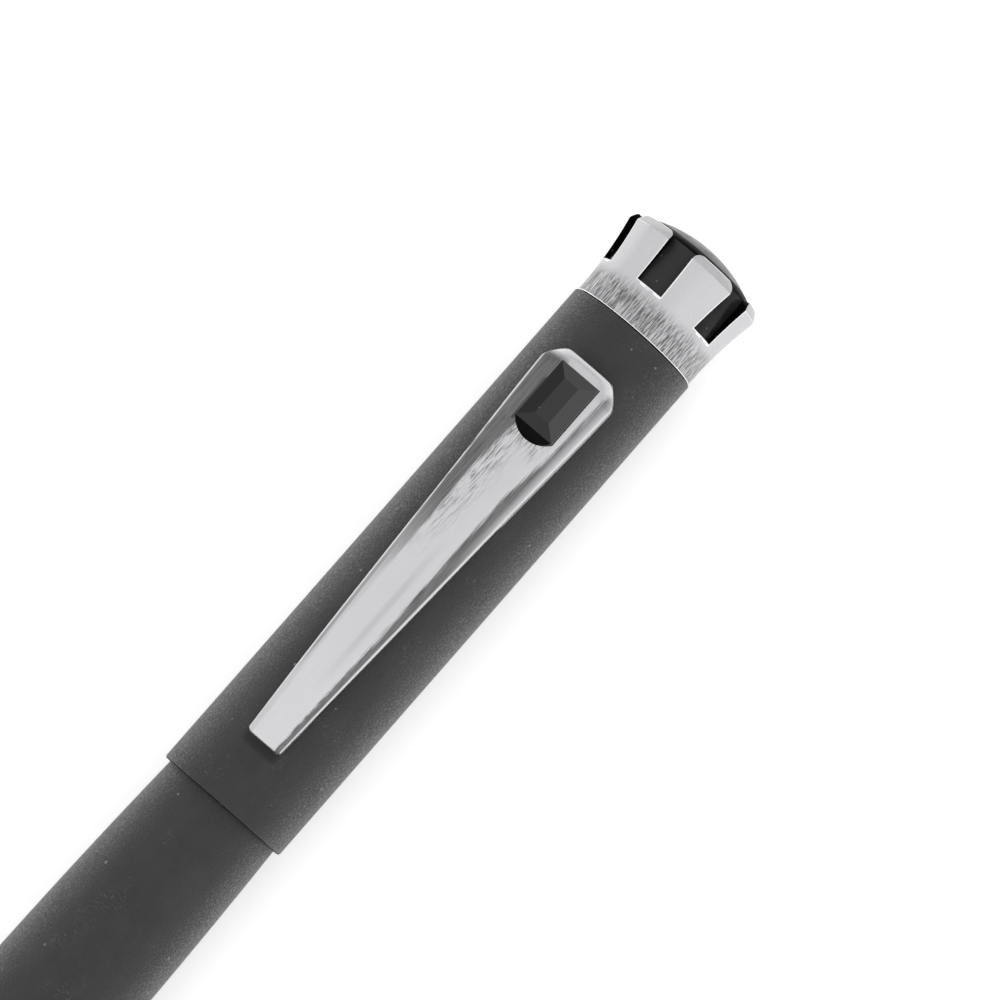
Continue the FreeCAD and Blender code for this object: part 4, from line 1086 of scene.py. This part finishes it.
def button_plan(gap=0.0):
    """The button's plan: a rectangle whose tail end is a shallow arc."""
    half = BUTTON_HALF + gap
    tail = BUTTON_START - BUTTON_TAIL + gap
    radius = (half * half + tail * tail) / (2 * tail)
    centre = BUTTON_START - tail + radius
    spread = math.asin(half / radius)
    points = [(BUTTON_END + gap, -half), (BUTTON_END + gap, half)]
    steps = 10
    for step in range(steps + 1):
        angle = spread - 2 * spread * step / steps
        points.append((centre - radius * math.cos(angle), radius * math.sin(angle)))
    return points


def box_cutter(x0, x1, half, z0, z1):
    return prism("box", [(x0, -half), (x1, -half), (x1, half), (x0, half)], z0, z1)


# The hollow under the clip from the side, as x and height, and the well in its head.
underside = [
    (86.0, 6.0),
    (127.0, 6.0),
    (127.0, 6.6),
    (110.9, 6.6),
    (109.9, 7.45),
    (88.4, 7.45),
    (86.0, 6.54),
]
WELL_HALF, WELL_START, WELL_END, WELL_TOP = 2.55, 112.85, 124.85, 8.0
NOTCH_TOP = 7.2  # a lower notch opens the well's crown end
WINDOW_GAP = 0.06  # between the button and the clip
clip_cutters = [
    prism("gap", underside, -5.0, 5.0, "Y"),
    box_cutter(WELL_START, WELL_END, WELL_HALF, 5.5, WELL_TOP),
    box_cutter(WELL_END - 0.1, underside[1][0], WELL_HALF, 5.5, NOTCH_TOP),
    prism("window", button_plan(WINDOW_GAP), 7.0, 10.0),
]
clip = finish_mesh(
    "pocket_clip_look", carve(clip_mesh(), clip_cutters), CLIP_STEEL, "clip", "pocket_clip"
)
# Painted shade: the walls of the button's window take the near-black material, as the gap round the
# button.
clip.data.materials.append(ENAMEL_AND_SHADE)
for face in clip.data.polygons:
    x, y = (face.center.x - TAIL_X) / MM, face.center.y / MM
    in_window = BUTTON_TAIL - 0.2 < x < BUTTON_END + 0.1 and abs(y) < BUTTON_HALF + 0.1
    if in_window and abs(face.normal.z) < 0.3:
        face.material_index = 1


def button_mesh():
    """A block with a hipped roof whose tail end slopes down to its arc."""
    made = bmesh.new()
    shoulder, top, foot, tail_fall = 9.2, 9.86, 7.95, 0.58
    plan = button_plan()
    low = [made.verts.new(place(x, y, foot)) for x, y in plan]
    high = []
    for x, y in plan:
        fall = max(0.0, (BUTTON_START - x) / (BUTTON_START - BUTTON_TAIL))
        high.append(made.verts.new(place(x, y, shoulder - tail_fall * fall)))
    made.faces.new(low)
    count = len(plan)
    for index in range(count):
        follow = (index + 1) % count
        made.faces.new((low[index], low[follow], high[follow], high[index]))
    table = []
    table_end, table_start = BUTTON_END - BUTTON_FACET, BUTTON_START + BUTTON_FACET
    for x, y in (
        (table_end, -TABLE_HALF),
        (table_end, TABLE_HALF),
        (table_start, TABLE_HALF),
        (table_start, -TABLE_HALF),
    ):
        table.append(made.verts.new(place(x, y, top)))
    made.faces.new(table)
    last = len(high) - 1
    made.faces.new((high[0], high[1], table[1], table[0]))
    made.faces.new((high[1], high[2], table[2], table[1]))
    made.faces.new((high[last], high[0], table[0], table[3]))
    made.faces.new((high[2], high[last], table[3], table[2]))
    # Painted shade: the crescent at the button's tail end takes the near-black material.
    made.faces.new(high[2:]).material_index = 1
    return as_mesh("button", made)


button = finish_mesh(
    "clip_button_look", button_mesh(), BUTTON_BLACK, "button", "clip_button", sharp=8.0
)
button.data.materials.append(ENAMEL_AND_SHADE)
soften(button, 0.05, angle=8.0)

# ---------------------------------------------------------------- the rest keeps its CAD shape

FINISHES = {
    "grip_section": SECTION,
    "coupling_ring": STEEL,
    "snap_ring": WIRE,
    "nib_holder": SECTION,
    "fibre_nib": NIB,
    "ink_cartridge": NATURAL,
    "ink_wick": WICK,
    "cartridge_plug": SECTION,
    "refill_spring": WIRE,
    "cap_liner": LINER,
    "inner_cap": LINER,
    "nib_seal": RUBBER,
    "clip_bracket": STEEL,
    "clip_spring": WIRE,
    "clip_pin": STEEL,
    "button_plunger": SECTION,
    "button_spring": WIRE,
    "contact_leaf": CONTACT,
    "battery_sleeve": NATURAL,
    "battery_spring": WIRE,
    "rear_cell": NICKEL,
    "middle_cell": NICKEL,
    "front_cell": NICKEL,
    "contact_plate": CONTACT,
    "led_holder": SECTION,
    "uv_led": EPOXY,
    "long_lead": TIN,
    "short_lead": TIN,
    "crown_seal": RUBBER,
}
for node, material in FINISHES.items():
    for holder in frame["nodes"][node].material_slots:
        holder.material = material

# ---------------------------------------------------------------- floor, lights and camera


def floor():
    """A pale, slightly glowing floor."""
    paint = Paint("pale_floor")
    fleck = paint.noise(2.0, detail=2.0)
    paint.set(Base_Color=paint.blend(fleck, (0.93, 0.93, 0.93), (0.96, 0.96, 0.96)))
    paint.set(Roughness=0.9, Specular_IOR_Level=0.1)
    paint.set(Emission_Color=(1.0, 1.0, 1.0, 1.0), Emission_Strength=0.36)
    mesh = bpy.data.meshes.new("floor")
    reach = 1.2  # metres from the pen's middle to each side
    corners = [(-reach, -reach, 0), (reach, -reach, 0), (reach, reach, 0), (-reach, reach, 0)]
    mesh.from_pydata(corners, [], [(0, 1, 2, 3)])
    mesh.materials.append(paint.material)
    piece = bpy.data.objects.new("floor", mesh)
    bpy.context.scene.collection.objects.link(piece)


floor()
AIM_POINT = place(112.75, 0.0, 0.0)  # what the light and the camera face


def softbox(name, place_at, size, power, length=None):
    """A rectangular light that faces the same point as the camera."""
    data = bpy.data.lights.new(name, "AREA")
    data.shape = "RECTANGLE"
    data.size = size
    data.size_y = length or size
    data.energy = power
    lamp = bpy.data.objects.new(name, data)
    lamp.location = AIM_POINT + Vector(place_at)
    lamp.rotation_euler = (-Vector(place_at)).to_track_quat("-Z", "Y").to_euler()
    bpy.context.scene.collection.objects.link(lamp)


softbox("right_light", (0.0, -0.5, 0.34), 0.35, 0.12, 0.8)


def studio():
    """A pale dome of light, dimmer near the horizon, with a darker gap between its panels."""
    world = bpy.data.worlds.new("studio")
    bpy.context.scene.world = world
    world.use_nodes = True
    tree = world.node_tree

    def ramp(value, low, high, start, end):
        made = tree.nodes.new("ShaderNodeMapRange")
        made.interpolation_type = "SMOOTHSTEP"
        tree.links.new(value, made.inputs[0])
        for socket, item in zip(list(made.inputs)[1:5], (low, high, start, end)):
            socket.default_value = item
        return made.outputs["Result"]

    def combine(operation, first, second):
        made = tree.nodes.new("ShaderNodeMath")
        made.operation = operation
        tree.links.new(first, made.inputs[0])
        tree.links.new(second, made.inputs[1])
        return made.outputs["Value"]

    split = tree.nodes.new("ShaderNodeSeparateXYZ")
    tree.links.new(tree.nodes.new("ShaderNodeTexCoord").outputs["Generated"], split.inputs[0])
    near_panel = ramp(split.outputs["X"], 0.07, 0.14, 1.1, 0.7)
    far_panel = ramp(split.outputs["X"], 0.32, 0.42, 0.7, 1.1)
    height = ramp(split.outputs["Z"], 0.0, 0.3, 0.85, 1.0)
    light = combine("MULTIPLY", combine("MAXIMUM", near_panel, far_panel), height)
    sky = tree.nodes["Background"]
    sky.inputs["Color"].default_value = (1.0, 1.0, 1.0, 1.0)
    tree.links.new(light, sky.inputs["Strength"])


studio()

CAMERA_DISTANCE = 0.5167
FIELD_OF_VIEW = math.radians(9.585)
TILT = math.radians(4.3)  # the crown end leans away from the camera
ROUND = math.radians(7.6)  # how far the camera stands round the pen's axis, towards -Y
SLANT = math.radians(48.77)  # the pen's slope in the picture
AIM_SIDE = -0.00064  # the camera looks this far beside the axis

along = Vector((1, 0, 0))
facing = Vector((0, -math.sin(ROUND), math.cos(ROUND)))
back = (facing * math.cos(TILT) - along * math.sin(TILT)).normalized()
lean = (along - back * along.dot(back)).normalized()
side = lean.cross(back)
right = lean * math.cos(SLANT) + side * math.sin(SLANT)
up = back.cross(right)
target = AIM_POINT + side * -AIM_SIDE
camera_data = bpy.data.cameras.new("camera")
camera_data.sensor_width = 36.0
camera_data.lens = 18.0 / math.tan(FIELD_OF_VIEW / 2)
camera_data.clip_start = 0.01
camera = bpy.data.objects.new("camera", camera_data)
camera.matrix_world = Matrix.Translation(target + back * CAMERA_DISTANCE) @ (
    Matrix((right, up, back)).transposed().to_4x4()
)
bpy.context.scene.collection.objects.link(camera)
bpy.context.scene.camera = camera
bpy.context.scene.view_settings.view_transform = "Standard"
